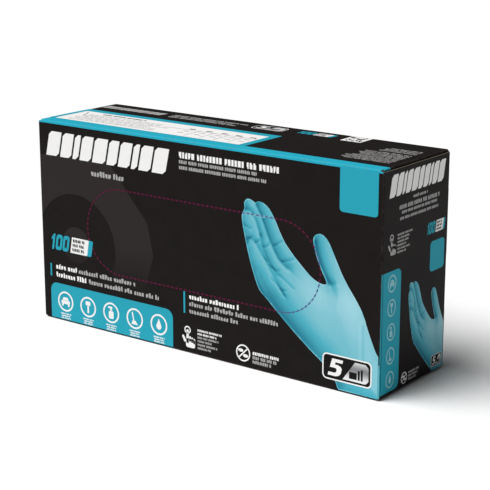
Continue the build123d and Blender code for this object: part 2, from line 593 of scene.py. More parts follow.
@dataclass(frozen=True)
class ToneFinish:
    """The printed hand: a ramp of blues, read from the tone that each point of the mesh carries."""

    name: str

    def material(self) -> Material:
        """Builds the material."""
        graph = Graph(self.name)
        tone = graph.wire("ShaderNodeAttribute", {"attribute_name": "tone"}, None, "Fac")
        grain = graph.noise(420.0, 3.0)
        fine = graph.noise(TOOTH_SCALE, 3.0)
        stops = (
            (0.0, paint(26, 104, 130)),
            (0.25, paint(56, 146, 165)),
            (0.5, paint(78, 174, 192)),
            (0.75, paint(124, 192, 206)),
            (1.0, paint(164, 214, 224)),
        )
        colour = graph.wire("ShaderNodeValToRGB", {"stops": stops}, {0: tone + (grain - 0.5) * 0.06})
        return graph.finish(
            Base_Color=colour,
            Roughness=fine * 0.12 + 0.36,
            Normal=graph.relief(fine * TOOTH_SHARE, TOOTH_DEPTH),
            Specular_IOR_Level=PRINT_SPECULAR,
            Coat_Weight=PRINT_COAT,
            Coat_Roughness=PRINT_COAT_ROUGHNESS,
        )


@dataclass(frozen=True)
class NitrileFinish:
    """Thin dipped nitrile: satin blue film with soft creases, painted shade that darkens the creases, and
    cloudy thick places.
    """

    name: str

    def material(self) -> Material:
        """Builds the material."""
        graph = Graph(self.name)
        cloud = graph.noise(34.0, 2.0)
        pebble = graph.wire(
            "ShaderNodeTexVoronoi", {"feature": "SMOOTH_F1"}, {"Vector": graph.place(), "Scale": 1300.0}
        )
        swell = graph.noise(90.0, 2.0, Vector((1.0, 1.0, 1.3)))
        large = 1.0 - abs(graph.noise(42.0, 1.5, Vector((1.0, 1.0, 1.5))) - 0.5).above(0.04, 0.08)
        small = 1.0 - abs(graph.noise(75.0, 1.5, Vector((1.5, 1.0, 1.0))) - 0.5).above(0.03, 0.06)
        crease = (large * 0.8 + small * 0.5).clamped()
        thick = graph.mix(cloud, paint(54, 150, 176), paint(84, 178, 200))
        # painted shade: the creases are darkened towards deep blue in the colour, on top of their bump
        colour = graph.mix(crease * 0.16, thick, paint(30, 112, 142))
        return graph.finish(
            Base_Color=colour,
            Roughness=0.30 + cloud * 0.12,
            Normal=graph.relief(pebble * 0.04 + swell - crease * 0.3, 0.0011, 0.9),
            Specular_IOR_Level=0.5,
        )


@dataclass(frozen=True)
class GlueFinish:
    """Hot-melt glue: amber, glossy, a little cloudy and stringy."""

    name: str

    def material(self) -> Material:
        """Builds the material."""
        graph = Graph(self.name)
        cloud = graph.noise(420.0, 3.0)
        strings = graph.noise(900.0, 3.0, Vector((1.0, 3.0, 0.7)))
        return graph.finish(
            Base_Color=graph.mix(cloud, paint(206, 178, 118), paint(232, 214, 166)),
            Roughness=0.24 + strings * 0.25,
            Normal=graph.relief(strings, 0.00008),
            Specular_IOR_Level=0.5,
        )


# ---------------------------------------------------------------- the carton's six sides


class Side(Enum):
    """The outer sides of the carton, each with its way across and its way up as a reader sees it."""

    FRONT = ((1, 0, 0), (0, 0, 1))
    RIGHT = ((0, 1, 0), (0, 0, 1))
    BACK = ((-1, 0, 0), (0, 0, 1))
    LEFT = ((0, -1, 0), (0, 0, 1))
    TOP = ((1, 0, 0), (0, 1, 0))
    BOTTOM = ((1, 0, 0), (0, -1, 0))

    def matrix(self) -> Matrix:
        """Takes (across, up, out) in mm from the side's lower left corner to the row frame in metres."""
        across, up = (Vector(way) for way in self.value)
        out = across.cross(up)
        low, high = cad_box
        corner = Vector()
        for axis in range(3):
            lean = across[axis] + up[axis] - out[axis]
            corner[axis] = low[axis] if lean > 0 else high[axis]
        turned = Matrix((across, up, out)).transposed().to_4x4()
        return Matrix.Translation(corner) @ turned @ Matrix.Scale(MM, 4)

    def size(self) -> tuple[float, float]:
        """The side's width and height in mm."""
        span = cad_box[1] - cad_box[0]
        across, up = (Vector(way) for way in self.value)
        return abs(across.dot(span)) / MM, abs(up.dot(span)) / MM


# ---------------------------------------------------------------- flat shapes


class Shapes:
    """Flat outlines in millimetres, facing up, that become ink."""

    @staticmethod
    def tile(width: float, height: float, radius: float = 0.0, corners: str = "abcd") -> Mesh:
        """A rectangle from the origin with some of its corners rounded.

        Args:
            width: Its width.
            height: Its height.
            radius: The corners' radius.
            corners: Which are rounded: a lower left, b lower right, c upper right, d upper left.

        Returns:
            The flat mesh.
        """
        bpy.ops.mesh.primitive_plane_add(size=1.0, location=(0, 0, 0))
        obj = bpy.context.object
        edit(obj)
        bpy.ops.transform.resize(value=(width, height, 1.0))
        bpy.ops.transform.translate(value=(width / 2, height / 2, 0.0))
        close_edit()
        if radius > 0:
            spots = {"a": (0, 0), "b": (width, 0), "c": (width, height), "d": (0, height)}
            kept = [Vector((*spots[c], 0)) for c in corners]
            mark(obj, lambda co: any((co - spot).length < 1e-4 for spot in kept), "VERT")
            bpy.ops.mesh.bevel(offset=radius, offset_type="OFFSET", segments=6, affect="VERTICES")
            close_edit()
        return take_mesh(obj)

    @staticmethod
    def ring(radius: float, width: float, sides: int = 40) -> Mesh:
        """A flat ring round the origin, or a disc where the width is the radius."""
        bpy.ops.mesh.primitive_circle_add(
            vertices=sides, radius=radius, fill_type="NGON", location=(0, 0, 0)
        )
        obj = bpy.context.object
        if width < radius:
            edit(obj)
            bpy.ops.mesh.inset(thickness=width)
            bpy.ops.mesh.delete(type="FACE")
            close_edit()
        return take_mesh(obj)

    @staticmethod
    def glyph(missing: Sequence[int], columns: int = 3, rows: int = 4) -> Mesh:
        """A block one by one, cut from a grid with some of its cells taken away.

        Args:
            missing: The cells that are taken away, counted along the rows from the bottom.
            columns: How many columns the grid has.
            rows: How many rows it has.

        Returns:
            The flat mesh.
        """
        bpy.ops.mesh.primitive_grid_add(
            x_subdivisions=columns, y_subdivisions=rows, size=1.0, location=(0, 0, 0)
        )
        obj = bpy.context.object
        edit(obj)
        bpy.ops.transform.translate(value=(0.5, 0.5, 0.0))
        close_edit()
        gone = set(missing)

        def cell(centre: Vector) -> bool:
            """Says yes to a cell that is taken away."""
            return int(centre.x * columns) + columns * int(centre.y * rows) in gone

        if gone:
            mark(obj, cell, "FACE")
            bpy.ops.mesh.delete(type="FACE")
            close_edit()
        mark(obj, lambda co: True, "FACE")
        bpy.ops.mesh.dissolve_limited(angle_limit=0.01)
        close_edit()
        return take_mesh(obj)

    @staticmethod
    def outline(points: Sequence[Point]) -> Mesh:
        """One flat face with these corners, turned to face up."""
        mesh = bpy.data.meshes.new("outline")
        area = sum(a[0] * b[1] - b[0] * a[1] for a, b in zip(points, [*points[1:], points[0]]))
        ordered = list(points) if area > 0 else list(reversed(points))
        mesh.from_pydata([(x, y, 0) for x, y in ordered], [], [range(len(ordered))])
        return mesh

    @staticmethod
    def stroke(points: Sequence[Point], width: float) -> Mesh:
        """A line of that width along some points, square at its ends."""
        left, right = [], []
        for index, (x, y) in enumerate(points):
            before = Vector(points[max(index - 1, 0)])
            after = Vector(points[min(index + 1, len(points) - 1)])
            way = (after - before).normalized() * (width / 2)
            left.append((x - way.y, y + way.x))
            right.append((x + way.y, y - way.x))
        mesh = bpy.data.meshes.new("stroke")
        count = len(points)
        faces = [(i + count, i + 1 + count, i + 1, i) for i in range(count - 1)]
        mesh.from_pydata([(x, y, 0) for x, y in left + right], [], faces)
        return mesh

    @staticmethod
    def figure(digit: str) -> Mesh:
        """A bold upright 0, 1 or 5, one wide and 1.4 high.

        Args:
            digit: The figure.

        Returns:
            The flat mesh.
        """
        if digit == "1":
            flag = [(0.12, 0.82), (0.12, 1.06), (0.52, 1.4), (0.82, 1.4)]
            return Shapes.outline([(0.42, 0.0), (0.42, 0.98), *flag, (0.82, 0.0)])
        if digit == "5":
            bowl = [(0.66, 0.94), (0.88, 0.85), (1.0, 0.68), (1.0, 0.3), (0.88, 0.1), (0.66, 0.0)]
            inner = [(0.02, 0.0), (0.02, 0.27), (0.5, 0.27), (0.62, 0.36), (0.62, 0.58), (0.5, 0.67)]
            top = [(0.06, 0.67), (0.12, 1.4), (0.97, 1.4), (0.97, 1.13), (0.43, 1.13), (0.41, 0.94)]
            return Shapes.outline([*top, *bowl, *inner])
        bpy.ops.mesh.primitive_plane_add(size=1.0, location=(0, 0, 0))
        obj = bpy.context.object
        edit(obj)
        bpy.ops.transform.resize(value=(1.0, 1.4, 1.0))
        bpy.ops.transform.translate(value=(0.5, 0.7, 0.0))
        bpy.ops.mesh.bevel(offset=0.3, offset_type="OFFSET", segments=5, affect="VERTICES")
        bpy.ops.mesh.select_all(action="SELECT")
        bpy.ops.mesh.inset(thickness=0.33)
        bpy.ops.mesh.delete(type="FACE")
        close_edit()
        return take_mesh(obj)


@dataclass
class InkSheet:
    """All the shapes of one ink on one side of the carton, made into one thin closed slab.

    The nut and the hand are the coat under the sheets, so a sheet's first coat is the board's second.
    """

    name: str
    side: Side
    ink: Material
    coat: int
    body: str
    flat: bmesh.types.BMesh = field(default_factory=bmesh.new)

    def add(
        self,
        shape: Mesh,
        across: float = 0.0,
        up: float = 0.0,
        scale: Point = (1.0, 1.0),
        turn: float = 0.0,
        lean: float = 0.0,
        keep: bool = False,
    ) -> None:
        """Copies a flat shape onto the sheet.

        Args:
            shape: The flat mesh.
            across: Where its origin goes, from the left of the side.
            up: Where its origin goes, from the bottom.
            scale: Its size across and up.
            turn: How far it is turned, in degrees.
            lean: How far its top leans over for each mm of height.
            keep: Whether the shape is wanted again.
        """
        copied = shape.copy() if keep else shape
        slant = Matrix.Identity(4)
        slant[0][1] = lean
        copied.transform(
            Matrix.Translation((across, up, 0))
            @ Matrix.Rotation(math.radians(turn), 4, "Z")
            @ slant
            @ Matrix.Diagonal((scale[0], scale[1], 1, 1))
        )
        self.flat.from_mesh(copied)
        bpy.data.meshes.remove(copied)

    def finish(self) -> Object:
        """Gives the sheet its thickness, lays it on its side of the carton and returns the piece."""
        mesh = bpy.data.meshes.new(self.name)
        self.flat.to_mesh(mesh)
        self.flat.free()
        return lay_ink(self.name, mesh, self.side, self.ink, self.coat + 1, self.body)


def lay_ink(name: str, mesh: Mesh, side: Side, ink: Material, coat: int, body: str) -> Object:
    """Gives a flat mesh in mm the thickness of a coat of ink and lays it on a side of the carton.

    Args:
        name: The piece's name.
        mesh: The flat mesh, facing up.
        side: The side of the carton.
        ink: Its finish.
        coat: 1 for the first coat on the board, 2 for one over that, and so on.
        body: The body that it rides on.

    Returns:
        The piece.
    """
    obj = bpy.data.objects.new(name, mesh)
    bpy.context.scene.collection.objects.link(obj)
    modify(obj, "SOLIDIFY", thickness=INK - INK_LIFT, offset=1.0)
    mesh = take_mesh(obj)
    mesh.transform(side.matrix() @ Matrix.Translation((0, 0, (coat - 1) * INK + INK_LIFT)))
    piece = show(name, mesh, ink, body)
    LOG.info("%s: %d faces", name, len(mesh.polygons))
    return piece


# ---------------------------------------------------------------- outlines in the plane


def smooth_loop(points: Sequence[Point], steps: int = 4) -> np.ndarray:
    """A closed smooth curve through some points.

    Args:
        points: The points, in order.
        steps: How many short lines stand for each stretch.

    Returns:
        The curve's points as an array of two columns.
    """
    knots = np.array(points, float)
    before, after = np.roll(knots, 1, 0), np.roll(knots, -1, 0)
    later = np.roll(knots, -2, 0)
    found = []
    for step in range(steps):
        t = step / steps
        found.append(
            0.5
            * (
                2 * knots
                + (after - before) * t
                + (2 * before - 5 * knots + 4 * after - later) * t**2
                + (3 * knots - before - 3 * after + later) * t**3
            )
        )
    return np.stack(found, 1).reshape(-1, 2)


def inside(places: np.ndarray, loop: np.ndarray) -> np.ndarray:
    """Says for each place whether it lies inside a closed outline."""
    x, y = places[:, 0][:, None], places[:, 1][:, None]
    a, b = loop, np.roll(loop, -1, 0)
    spans = (a[:, 1] > y) != (b[:, 1] > y)
    rise = np.where(b[:, 1] == a[:, 1], 1e-12, b[:, 1] - a[:, 1])
    crossing = a[:, 0] + (y - a[:, 1]) * (b[:, 0] - a[:, 0]) / rise
    return (np.sum(spans & (x < crossing), 1) % 2).astype(bool)


def from_line(places: np.ndarray, line: np.ndarray, closed: bool) -> tuple[np.ndarray, np.ndarray]:
    """The vector from the nearest point of a line to each place, and which side of it the place is on.

    Args:
        places: The places.
        line: The line's points.
        closed: Whether the line's end joins its start.

    Returns:
        The vectors, and +1 to the right of the line's way and -1 to its left.
    """
    ends = np.roll(line, -1, 0) if closed else line[1:]
    starts = line if closed else line[:-1]
    way = ends - starts
    offset = places[:, None, :] - starts[None]
    share = np.clip(np.sum(offset * way, 2) / np.maximum(np.sum(way * way, 1), 1e-12), 0, 1)
    away = offset - share[..., None] * way
    nearest = np.argmin(np.sum(away * away, 2), 1)
    rows = np.arange(len(places))
    chosen, along = away[rows, nearest], way[nearest]
    turn = along[:, 0] * chosen[:, 1] - along[:, 1] * chosen[:, 0]
    return chosen, np.where(turn < 0, 1.0, -1.0)


def filled(
    loops: Sequence[np.ndarray], wanted: Callable[[np.ndarray], np.ndarray], pitch: float
) -> tuple[np.ndarray, list[tuple[int, int, int]]]:
    """Triangles between outlines, with extra points on a grid where a tone or a wrinkle needs them.

    Args:
        loops: The closed outlines that triangles may not cross.
        wanted: Says for the middles of triangles whether each is kept.
        pitch: The grid's pitch.

    Returns:
        The points and the triangles.
    """
    places = np.concatenate(loops)
    low, high = places.min(0), places.max(0)
    across, up = np.meshgrid(np.arange(low[0], high[0], pitch), np.arange(low[1], high[1], pitch))
    across[1::2] += pitch / 2
    grid = np.stack([across.ravel(), up.ravel()], 1)
    near = np.full(len(grid), True)
    for loop in loops:
        near &= np.linalg.norm(from_line(grid, loop, True)[0], axis=1) > pitch * 0.4
    grid = grid[near]
    grid = grid[wanted(grid)]
    edges, start = [], 0
    for loop in loops:
        count = len(loop)
        edges += [(start + i, start + (i + 1) % count) for i in range(count)]
        start += count
    corners = [Vector(p) for p in np.concatenate([places, grid])]
    points, _, faces, *_ = delaunay_2d_cdt(corners, edges, [], 0, 1e-5)
    points = np.array([tuple(p) for p in points])
    middles = np.array([points[list(f)].mean(0) for f in faces])
    kept = [tuple(f) for f, good in zip(faces, wanted(middles)) if good]
    return points, kept


def flat_mesh(name: str, points: np.ndarray, faces: list[tuple[int, int, int]]) -> Mesh:
    """A flat mesh, facing up, without its unused points."""
    used = sorted({i for face in faces for i in face})
    place = {old: new for new, old in enumerate(used)}
    mesh = bpy.data.meshes.new(name)
    turned = []
    for face in faces:
        a, b, c = (points[i] for i in face)
        up = (b[0] - a[0]) * (c[1] - a[1]) - (b[1] - a[1]) * (c[0] - a[0])
        ordered = face if up > 0 else face[::-1]
        turned.append([place[i] for i in ordered])
    mesh.from_pydata([(*points[i], 0.0) for i in used], [], turned)
    return mesh


# ---------------------------------------------------------------- the tear-out window


@dataclass(frozen=True)
class Window:
    """The window's round-ended cut in the front, in mm on that side."""

    centre: Point
    length: float
    height: float
    gap: float = 0.15
    dash_pitch: float = 3.1
    dash_length: float = 1.85
    dash_width: float = 0.95
    ink_clear: float = 0.02

    @property
    def clear(self) -> float:
        """How far the ink stays from the cut's middle line."""
        return self.gap / 2 + self.ink_clear

    def loop(self, outset: float, step: float = 1.2) -> np.ndarray:
        """The cut's middle line moved outwards by outset."""
        radius = self.height / 2 + outset
        reach = (self.length - self.height) / 2
        count = max(8, round(math.pi * radius / step))
        angles = np.linspace(-math.pi / 2, math.pi / 2, count + 1)
        right = np.stack([reach + radius * np.cos(angles), radius * np.sin(angles)], 1)
        return np.concatenate([right, -right]) + np.array(self.centre)

    def walk(self, along: float) -> tuple[Vector, Vector]:
        """A point of the cut's middle line and the way out from it, at a length along the line."""
        radius, straight = self.height / 2, self.length - self.height
        arc = math.pi * radius
        along %= 2 * (straight + arc)
        flip = -1.0 if along >= straight + arc else 1.0
        along %= straight + arc
        if along < straight:
            spot, out = Vector((along - straight / 2, -radius)), Vector((0, -1))
        else:
            angle = (along - straight) / radius - math.pi / 2
            out = Vector((math.cos(angle), math.sin(angle)))
            spot = Vector((straight / 2, 0)) + out * radius
        return spot * flip + Vector(self.centre), out * flip

    def dashes(self, outer: bool) -> list[list[Point]]:
        """The printed dashes of the perforation, on the carton's or on the window's side of the cut."""
        total = 2 * (self.length - self.height) + math.pi * self.height
        count = round(total / self.dash_pitch)
        near, far = self.clear, self.dash_width / 2
        found = []
        corners = ((-0.5, near), (0.0, near), (0.5, near), (0.5, far), (0.0, far), (-0.5, far))
        for index in range(count):
            middle = (index + 0.5) * total / count
            quad = []
            for share, reach in corners:
                spot, out = self.walk(middle + share * self.dash_length)
                corner = spot + out * (reach if outer else -reach)
                quad.append((corner.x, corner.y))
            found.append(quad)
        return found


# ---------------------------------------------------------------- the printed hand


@dataclass
class PrintedHand:
    """A gloved hand held up open, shaded as if it were round. Its outline is in mm."""

    finger_swell: float = 5.0
    palm_swell: float = 16.0
    pitch: float = 0.75
    light: Vector = field(default_factory=lambda: Vector((0.60, 0.30, 0.74)).normalized())
    outline: tuple[Point, ...] = (
        (151.2, 86), (151.6, 81), (153.4, 73.5), (155, 67), (158, 57.5), (162.5, 47), (168, 42),
        (182, 30.2), (196, 19.5), (204, 14), (212, 6.5), (218, -1), (242, -1), (242, 19),
        (237.5, 26), (232.5, 37), (228, 47.5), (217, 62.7), (209.3, 77), (206, 81.7),
        (202.2, 83.6), (198.6, 82), (197.8, 78.5), (200, 71), (203, 64.5), (206.4, 57.4),
        (200, 57.8), (192, 63.3), (180, 75), (173, 87), (169.5, 92), (165.5, 94.7),
        (162, 95.1), (160.2, 94.2), (157.5, 95.4), (154.6, 95.5), (152.7, 93.2), (152.8, 90),
    )  # fmt: skip
    # Each valley: its points, how dark it is, how wide on its left and on its right.
    valleys: tuple[tuple[tuple[Point, ...], float, float, float], ...] = (
        (((160.4, 94), (165, 86), (168.5, 78), (172, 71.5), (176, 65.5), (181.5, 61.5)), 0.55, 3.4, 0.5),
        (((152, 89.2), (155.5, 89.8), (158, 88.6), (161, 84), (163.5, 77)), 0.42, 1.8, 0.5),
        (((163.5, 77), (166, 69.5), (171, 61.5), (175, 57)), 0.34, 1.2, 1.0),
        (((155, 71.5), (156.2, 73.6), (159, 73.6), (162, 70.5), (166, 65), (171, 58), (179, 46.6)),
         0.36, 2.0, 0.6),
        (((199, 79), (200.5, 73), (203.5, 66), (208, 58.5)), 0.50, 3.8, 1.0),
        (((206, 57.2), (212, 58.6)), 0.18, 1.0, 1.6),
        (((229.6, 39), (230, 20)), 0.20, 0.35, 2.2),
        (((163, 55), (171, 43), (185, 30.5), (203, 17)), 0.05, 7.0, 5.0),
    )  # fmt: skip
    creases: tuple[tuple[Point, ...], ...] = (
        ((165.8, 70.6), (168.2, 71.6), (169.6, 72.9)), ((173, 72.6), (178, 76)), ((178, 64.5), (185, 67)),
        ((173, 58.9), (176, 59.2)), ((176, 57.2), (185.5, 51)), ((171, 54), (176, 50.4), (180, 45.8)),
        ((166, 64.6), (168, 63.2)), ((177, 48.6), (180, 48.9)), ((160, 72), (163, 74)),
        ((154, 73.2), (158, 75)), ((169.5, 61), (172.5, 59.6)), ((152.5, 81), (157, 79.6)),
    )  # fmt: skip

    def loop(self) -> np.ndarray:
        """The smooth outline."""
        return smooth_loop(self.outline)

    def tone(self, places: np.ndarray) -> np.ndarray:
        """How light the print is at each place, from 0 to 1."""
        away, _ = from_line(places, self.loop(), True)
        deep = np.linalg.norm(away, axis=1)
        low = np.clip((64 - places[:, 1]) / 18, 0, 1)
        swell = self.finger_swell + (self.palm_swell - self.finger_swell) * low
        share = np.clip(deep / swell, 0, 1)
        lean = away / np.maximum(deep, 1e-6)[:, None] * (1 - share)[:, None]
        rise = np.sqrt(np.clip(1 - (1 - share) ** 2, 0, 1))
        facing = -lean[:, 0] * self.light.x - lean[:, 1] * self.light.y + rise * self.light.z
        heel = np.clip((places[:, 0] - 168) / 34, 0, 1) * np.clip((80 - places[:, 1]) / 30, 0, 1)
        cuff = np.clip((52 - places[:, 1]) / 26, 0, 1)
        strength = 0.34 + 0.16 * low
        tone = 0.61 + 0.25 * heel - 0.17 * cuff + strength * (facing - self.light.z)
        for points, dark, left, right in self.valleys:
            line = self._along(points)
            off, side = from_line(places, line, False)
            reach = np.where(side > 0, right, left)
            tone -= dark * np.exp(-np.linalg.norm(off, axis=1) / reach)
            tone += 0.12 * np.exp(-((np.linalg.norm(off, axis=1) - 1.6) ** 2) / 1.6) * (side > 0)
        for points in self.creases:
            off, side = from_line(places, np.array(points), False)
            gap = np.linalg.norm(off, axis=1)
            tone -= 0.30 * np.exp(-((gap / 0.45) ** 2))
            tone += 0.12 * np.exp(-(((gap - 0.9) / 0.5) ** 2)) * side
        rim = np.clip(away[:, 0] / np.maximum(deep, 1e-6), 0, 1) + (deep < 1e-4)
        tone += 0.50 * np.exp(-((deep / 0.55) ** 2)) * np.clip(rim, 0.25, 1)
        return np.clip(tone, 0, 1)

    @staticmethod
    def _along(points: Sequence[Point]) -> np.ndarray:
        """A smooth open line through some points."""
        line = np.array(points, float)
        ghosted = [tuple(2 * line[0] - line[1]), *points, tuple(2 * line[-1] - line[-2])]
        loop = smooth_loop(ghosted)
        return loop[4 : 4 * (len(points)) + 1]

    def mesh(
        self,
        fit: Callable[[np.ndarray], np.ndarray],
        frames: Sequence[np.ndarray],
        wanted: Callable[[np.ndarray], np.ndarray],
        scale: float = 1.0,
    ) -> Mesh:
        """The hand as a flat mesh with its tone on every point.

        Args:
            fit: Moves the hand's own points to their place on the side.
            frames: More outlines that the hand is cut along.
            wanted: Says which places on the side are kept.
            scale: How fine the grid is against the full-size one.

        Returns:
            The flat mesh.
        """
        outline = fit(self.loop())
        points, faces = filled(
            [outline, *frames], lambda p: inside(p, outline) & wanted(p), self.pitch * scale
        )
        mesh = flat_mesh("hand", points, faces)
        places = np.array([v.co[:2] for v in mesh.vertices])
        corner, reach = fit(np.zeros((1, 2)))[0], fit(np.ones((1, 2)))[0]
        own = (places - corner) / (reach - corner)
        attribute = mesh.attributes.new("tone", "FLOAT", "POINT")
        attribute.data.foreach_set("value", self.tone(own).astype(np.float32))
        return mesh


# ---------------------------------------------------------------- the artwork


@dataclass
class Inks:
    """One material for each printed colour."""

    white: Material
    grey: Material
    teal: Material
    pale: Material
    black: Material
    silver: Material
    magenta: Material
    mauve: Material
    ghost: Material
    hand: Material

    @classmethod
    def mixed(cls) -> "Inks":
        """Mixes all the inks."""
        return cls(
            white=InkFinish("ink_white", WHITE, 0.02).material(),
            grey=InkFinish("ink_grey", GREY, 0.06).material(),
            teal=InkFinish("ink_teal", TEAL, 0.05).material(),
            pale=InkFinish("ink_pale", PALE_TEAL, 0.05).material(),
            black=InkFinish("ink_black", paint(26, 24, 24), 0.05).material(),
            silver=BrightFinish("ink_silver").material(),
            magenta=InkFinish("ink_magenta", MAGENTA, 0.12).material(),
            mauve=InkFinish("ink_mauve", MAUVE, 0.12).material(),
            ghost=InkFinish("ink_ghost", GHOST, 0.05, fade_top=0.056, fade_bottom=0.026).material(),
            hand=ToneFinish("ink_hand").material(),
        )


@dataclass
class Artwork:
    """Everything that is printed over the flood ink."""

    inks: Inks
    window: Window
    hand: PrintedHand
    chance: random.Random
    tail: float = 0.9  # the flat of a panel starts this far in from its edges, mm
    sheets: dict[str, InkSheet] = field(default_factory=dict)
    letters: list[Mesh] = field(default_factory=list)
    icon_radius: float = 6.3

    def sheet(self, side: Side, ink: str, coat: int, body: str) -> InkSheet:
        """The sheet of that ink and coat on a side, which is started when it is first asked for."""
        key = f"{side.name.lower()}_{ink}_{coat}_print"
        if key not in self.sheets:
            self.sheets[key] = InkSheet(key, side, getattr(self.inks, ink), coat, body)
        return self.sheets[key]

    def prepare(self) -> None:
        """Cuts the blocks that stand for small lettering."""
        for missing in ((), (11,), (9,), (0,), (2,), ()):
            self.letters.append(Shapes.glyph(missing))

    def line(
        self,
        sheet: InkSheet,
        start: float,
        base: float,
        length: float,
        height: float,
        capital: bool = False,
        from_right: bool = False,
    ) -> None:
        """A line of blocks in words, which stands for a line of lettering.

        Args:
            sheet: The sheet that it is printed on.
            start: Where the line starts, or ends if from_right.
            base: The height of its base line.
            length: How long it is.
            height: How tall its tallest block is.
            capital: Whether all the blocks are equally tall.
            from_right: Whether start is the line's right end.
        """
        at = start - length if from_right else start
        end = at + length
        left_in_word = self.chance.randint(4, 9)
        while at < end - 0.3 * height:
            wide = height * self.chance.uniform(0.38, 0.60)
            wide = min(wide, end - at)
            tall = height if capital or self.chance.random() < 0.3 else height * 0.74
            letter = self.chance.choice(self.letters)
            sheet.add(letter, at, base, (wide, tall), keep=True)
            at += wide + height * 0.18
            left_in_word -= 1
            if left_in_word <= 0:
                left_in_word = self.chance.randint(3, 9)
                at += height * 0.42

    def title(self, sheet: InkSheet, left: float, low: float, width: float, height: float) -> None:
        """A row of bold leaning bars with two corners cut off, where a trader's name would stand.

        Args:
            sheet: The sheet that it is printed on.
            left: Where the row starts.
            low: Its base line.
            width: How long the row is.
            height: How tall its bars are.
        """
        shares = (1.15, 1.0, 0.5, 1.0, 1.15, 0.85, 1.0, 0.5, 1.0, 1.15)
        gap, lean, corner = width * 0.014, 0.22, height * 0.13
        unit = (width - gap * (len(shares) - 1) - height * lean) / sum(shares)
        at = left
        for share in shares:
            wide = unit * share
            low_right = [(wide - corner, 0.0), (wide, corner)]
            high_left = [(corner, height), (0.0, height - corner)]
            bar = [(0.0, 0.0), *low_right, (wide, height), *high_left]
            sheet.add(Shapes.outline(bar), at, low, lean=lean)
            at += wide + gap

    def icon(self, kind: int, sheet: InkSheet, x: float, z: float, radius: float, narrow: float) -> None:
        """A ring with a small plain sign in it.

        Args:
            kind: 0 car, 1 brush, 2 spray bottle, 3 broom, 4 drop.
            sheet: The sheet that it is printed on.
            x: The ring's middle, across.
            z: The ring's middle, up.
            radius: The ring's outer radius.
            narrow: How wide the ring is against its height.
        """
        sheet.add(Shapes.ring(radius, radius * 0.17), x, z, (narrow, 1.0))
        unit = radius / 6.3

        def part(shape: Mesh, across: float, up: float, turn: float = 0.0) -> None:
            """Adds one part of the sign, in the sign's own units."""
            sheet.add(shape, x + across * unit * narrow, z + up * unit, (unit * narrow, unit), turn)

        if kind == 0:
            part(Shapes.tile(7.0, 2.2, 0.7), -3.5, -1.6)
            part(Shapes.outline([(-2.6, 0.8), (2.6, 0.8), (1.7, 2.6), (-1.7, 2.6)]), 0, 0)
            part(Shapes.tile(1.3, 1.4, 0.3), -3.1, -3.0)
            part(Shapes.tile(1.3, 1.4, 0.3), 1.8, -3.0)
        elif kind == 1:
            part(Shapes.tile(3.8, 2.6, 0.6), -1.9, 0.9)
            part(Shapes.tile(1.3, 4.6, 0.5), -0.65, -3.8)
        elif kind == 2:
            part(Shapes.tile(3.8, 4.6, 0.8), -1.9, -3.6)
            part(Shapes.tile(1.5, 1.4), -0.75, 1.3)
            part(Shapes.tile(3.2, 1.2, 0.3), -2.2, 2.6)
        elif kind == 3:
            part(Shapes.tile(0.9, 5.0), -1.2, -1.2, 12)
            part(Shapes.outline([(-2.6, -3.6), (2.4, -3.6), (0.6, -1.2), (-1.6, -1.2)]), 0, 0)
        else:
            turns = [math.radians(angle) for angle in range(-200, 21, 20)]
            belly = [(1.9 * math.cos(turn), 1.9 * math.sin(turn) - 1.1) for turn in turns]
            part(Shapes.outline([*belly, (0.0, 3.7)]), 0, 0)

    def icons(self, sheet: InkSheet, spots: Sequence[Point], radius: float, narrow: float = 1.0) -> None:
        """The five round signs, each at its own spot."""
        for kind, (x, z) in enumerate(spots):
            self.icon(kind, sheet, x, z, radius, narrow)

    def touch_sign(self, sheet: InkSheet, x: float, z: float, width: float, height: float) -> None:
        """A pointing hand under a small ring."""
        unit = width / 8.5
        rise = height / 12.3

        def part(shape: Mesh, across: float, up: float, turn: float = 0.0) -> None:
            """Adds one part in the sign's own units."""
            sheet.add(shape, x + across * unit, z + up * rise, (unit, rise), turn)

        part(Shapes.tile(6.6, 5.4, 1.4), 1.6, 0.0)
        part(Shapes.tile(1.7, 8.2, 0.8), 2.0, 2.4)
        for step in range(3):
            part(Shapes.tile(1.4, 3.2, 0.65), 3.9 + step * 1.5, 3.6 - 0.5 * step)
        part(Shapes.tile(1.6, 4.2, 0.7), 0.6, 2.6, 28)
        part(Shapes.ring(2.3, 0.75, 24), 2.85, 10.3)

    def crossed_ring(self, sheet: InkSheet, x: float, z: float, radius: float, narrow: float) -> None:
        """A ring with a bar across a small leaf shape."""
        sheet.add(Shapes.ring(radius, radius * 0.17, 32), x, z, (narrow, 1.0))
        slant = 0.62 * radius
        bar = Shapes.stroke([(-slant * narrow, -slant), (slant * narrow, slant)], radius * 0.17)
        sheet.add(bar, x, z)
        for share in (-1, 1):
            leaf = Shapes.ring(radius * 0.25, radius * 0.25, 14)
            leaf_x = x - share * 0.34 * radius * narrow
            leaf_z = z + share * 0.28 * radius
            sheet.add(leaf, leaf_x, leaf_z, (1.5 * narrow, 0.8))

    def count_tag(self, side: Side, body: str, x: float, z: float, width: float, height: float) -> None:
        """The count of gloves in figures, and a slanted tag beside it."""
        share = width / 33.8
        lean = 0.18
        teal = self.sheet(side, "teal", 2, body)
        for place, digit in enumerate("100"):
            wide = (3.9, 5.1, 5.1)[place] * share
            left = x + (0.0, 4.3, 9.9)[place] * share
            teal.add(Shapes.figure(digit), left, z, (wide, height / 1.4), lean=lean)
        tag_left = x + 16.2 * share
        edge = Shapes.tile(16.2 * share, height, height * 0.12, "bc")
        teal.add(edge, tag_left + 1.2 * share, z, lean=lean)
        white = self.sheet(side, "white", 3, body)
        tag = Shapes.tile(13.6 * share, height, height * 0.08, "bc")
        white.add(tag, tag_left + 0.5 * share, z, lean=lean)
        black = self.sheet(side, "black", 4, body)
        for row in range(3):
            base = z + height * (0.12 + 0.29 * row)
            self.line(black, tag_left + (2.2 + 0.4 * row) * share, base, 9.5 * share, height * 0.19, True)

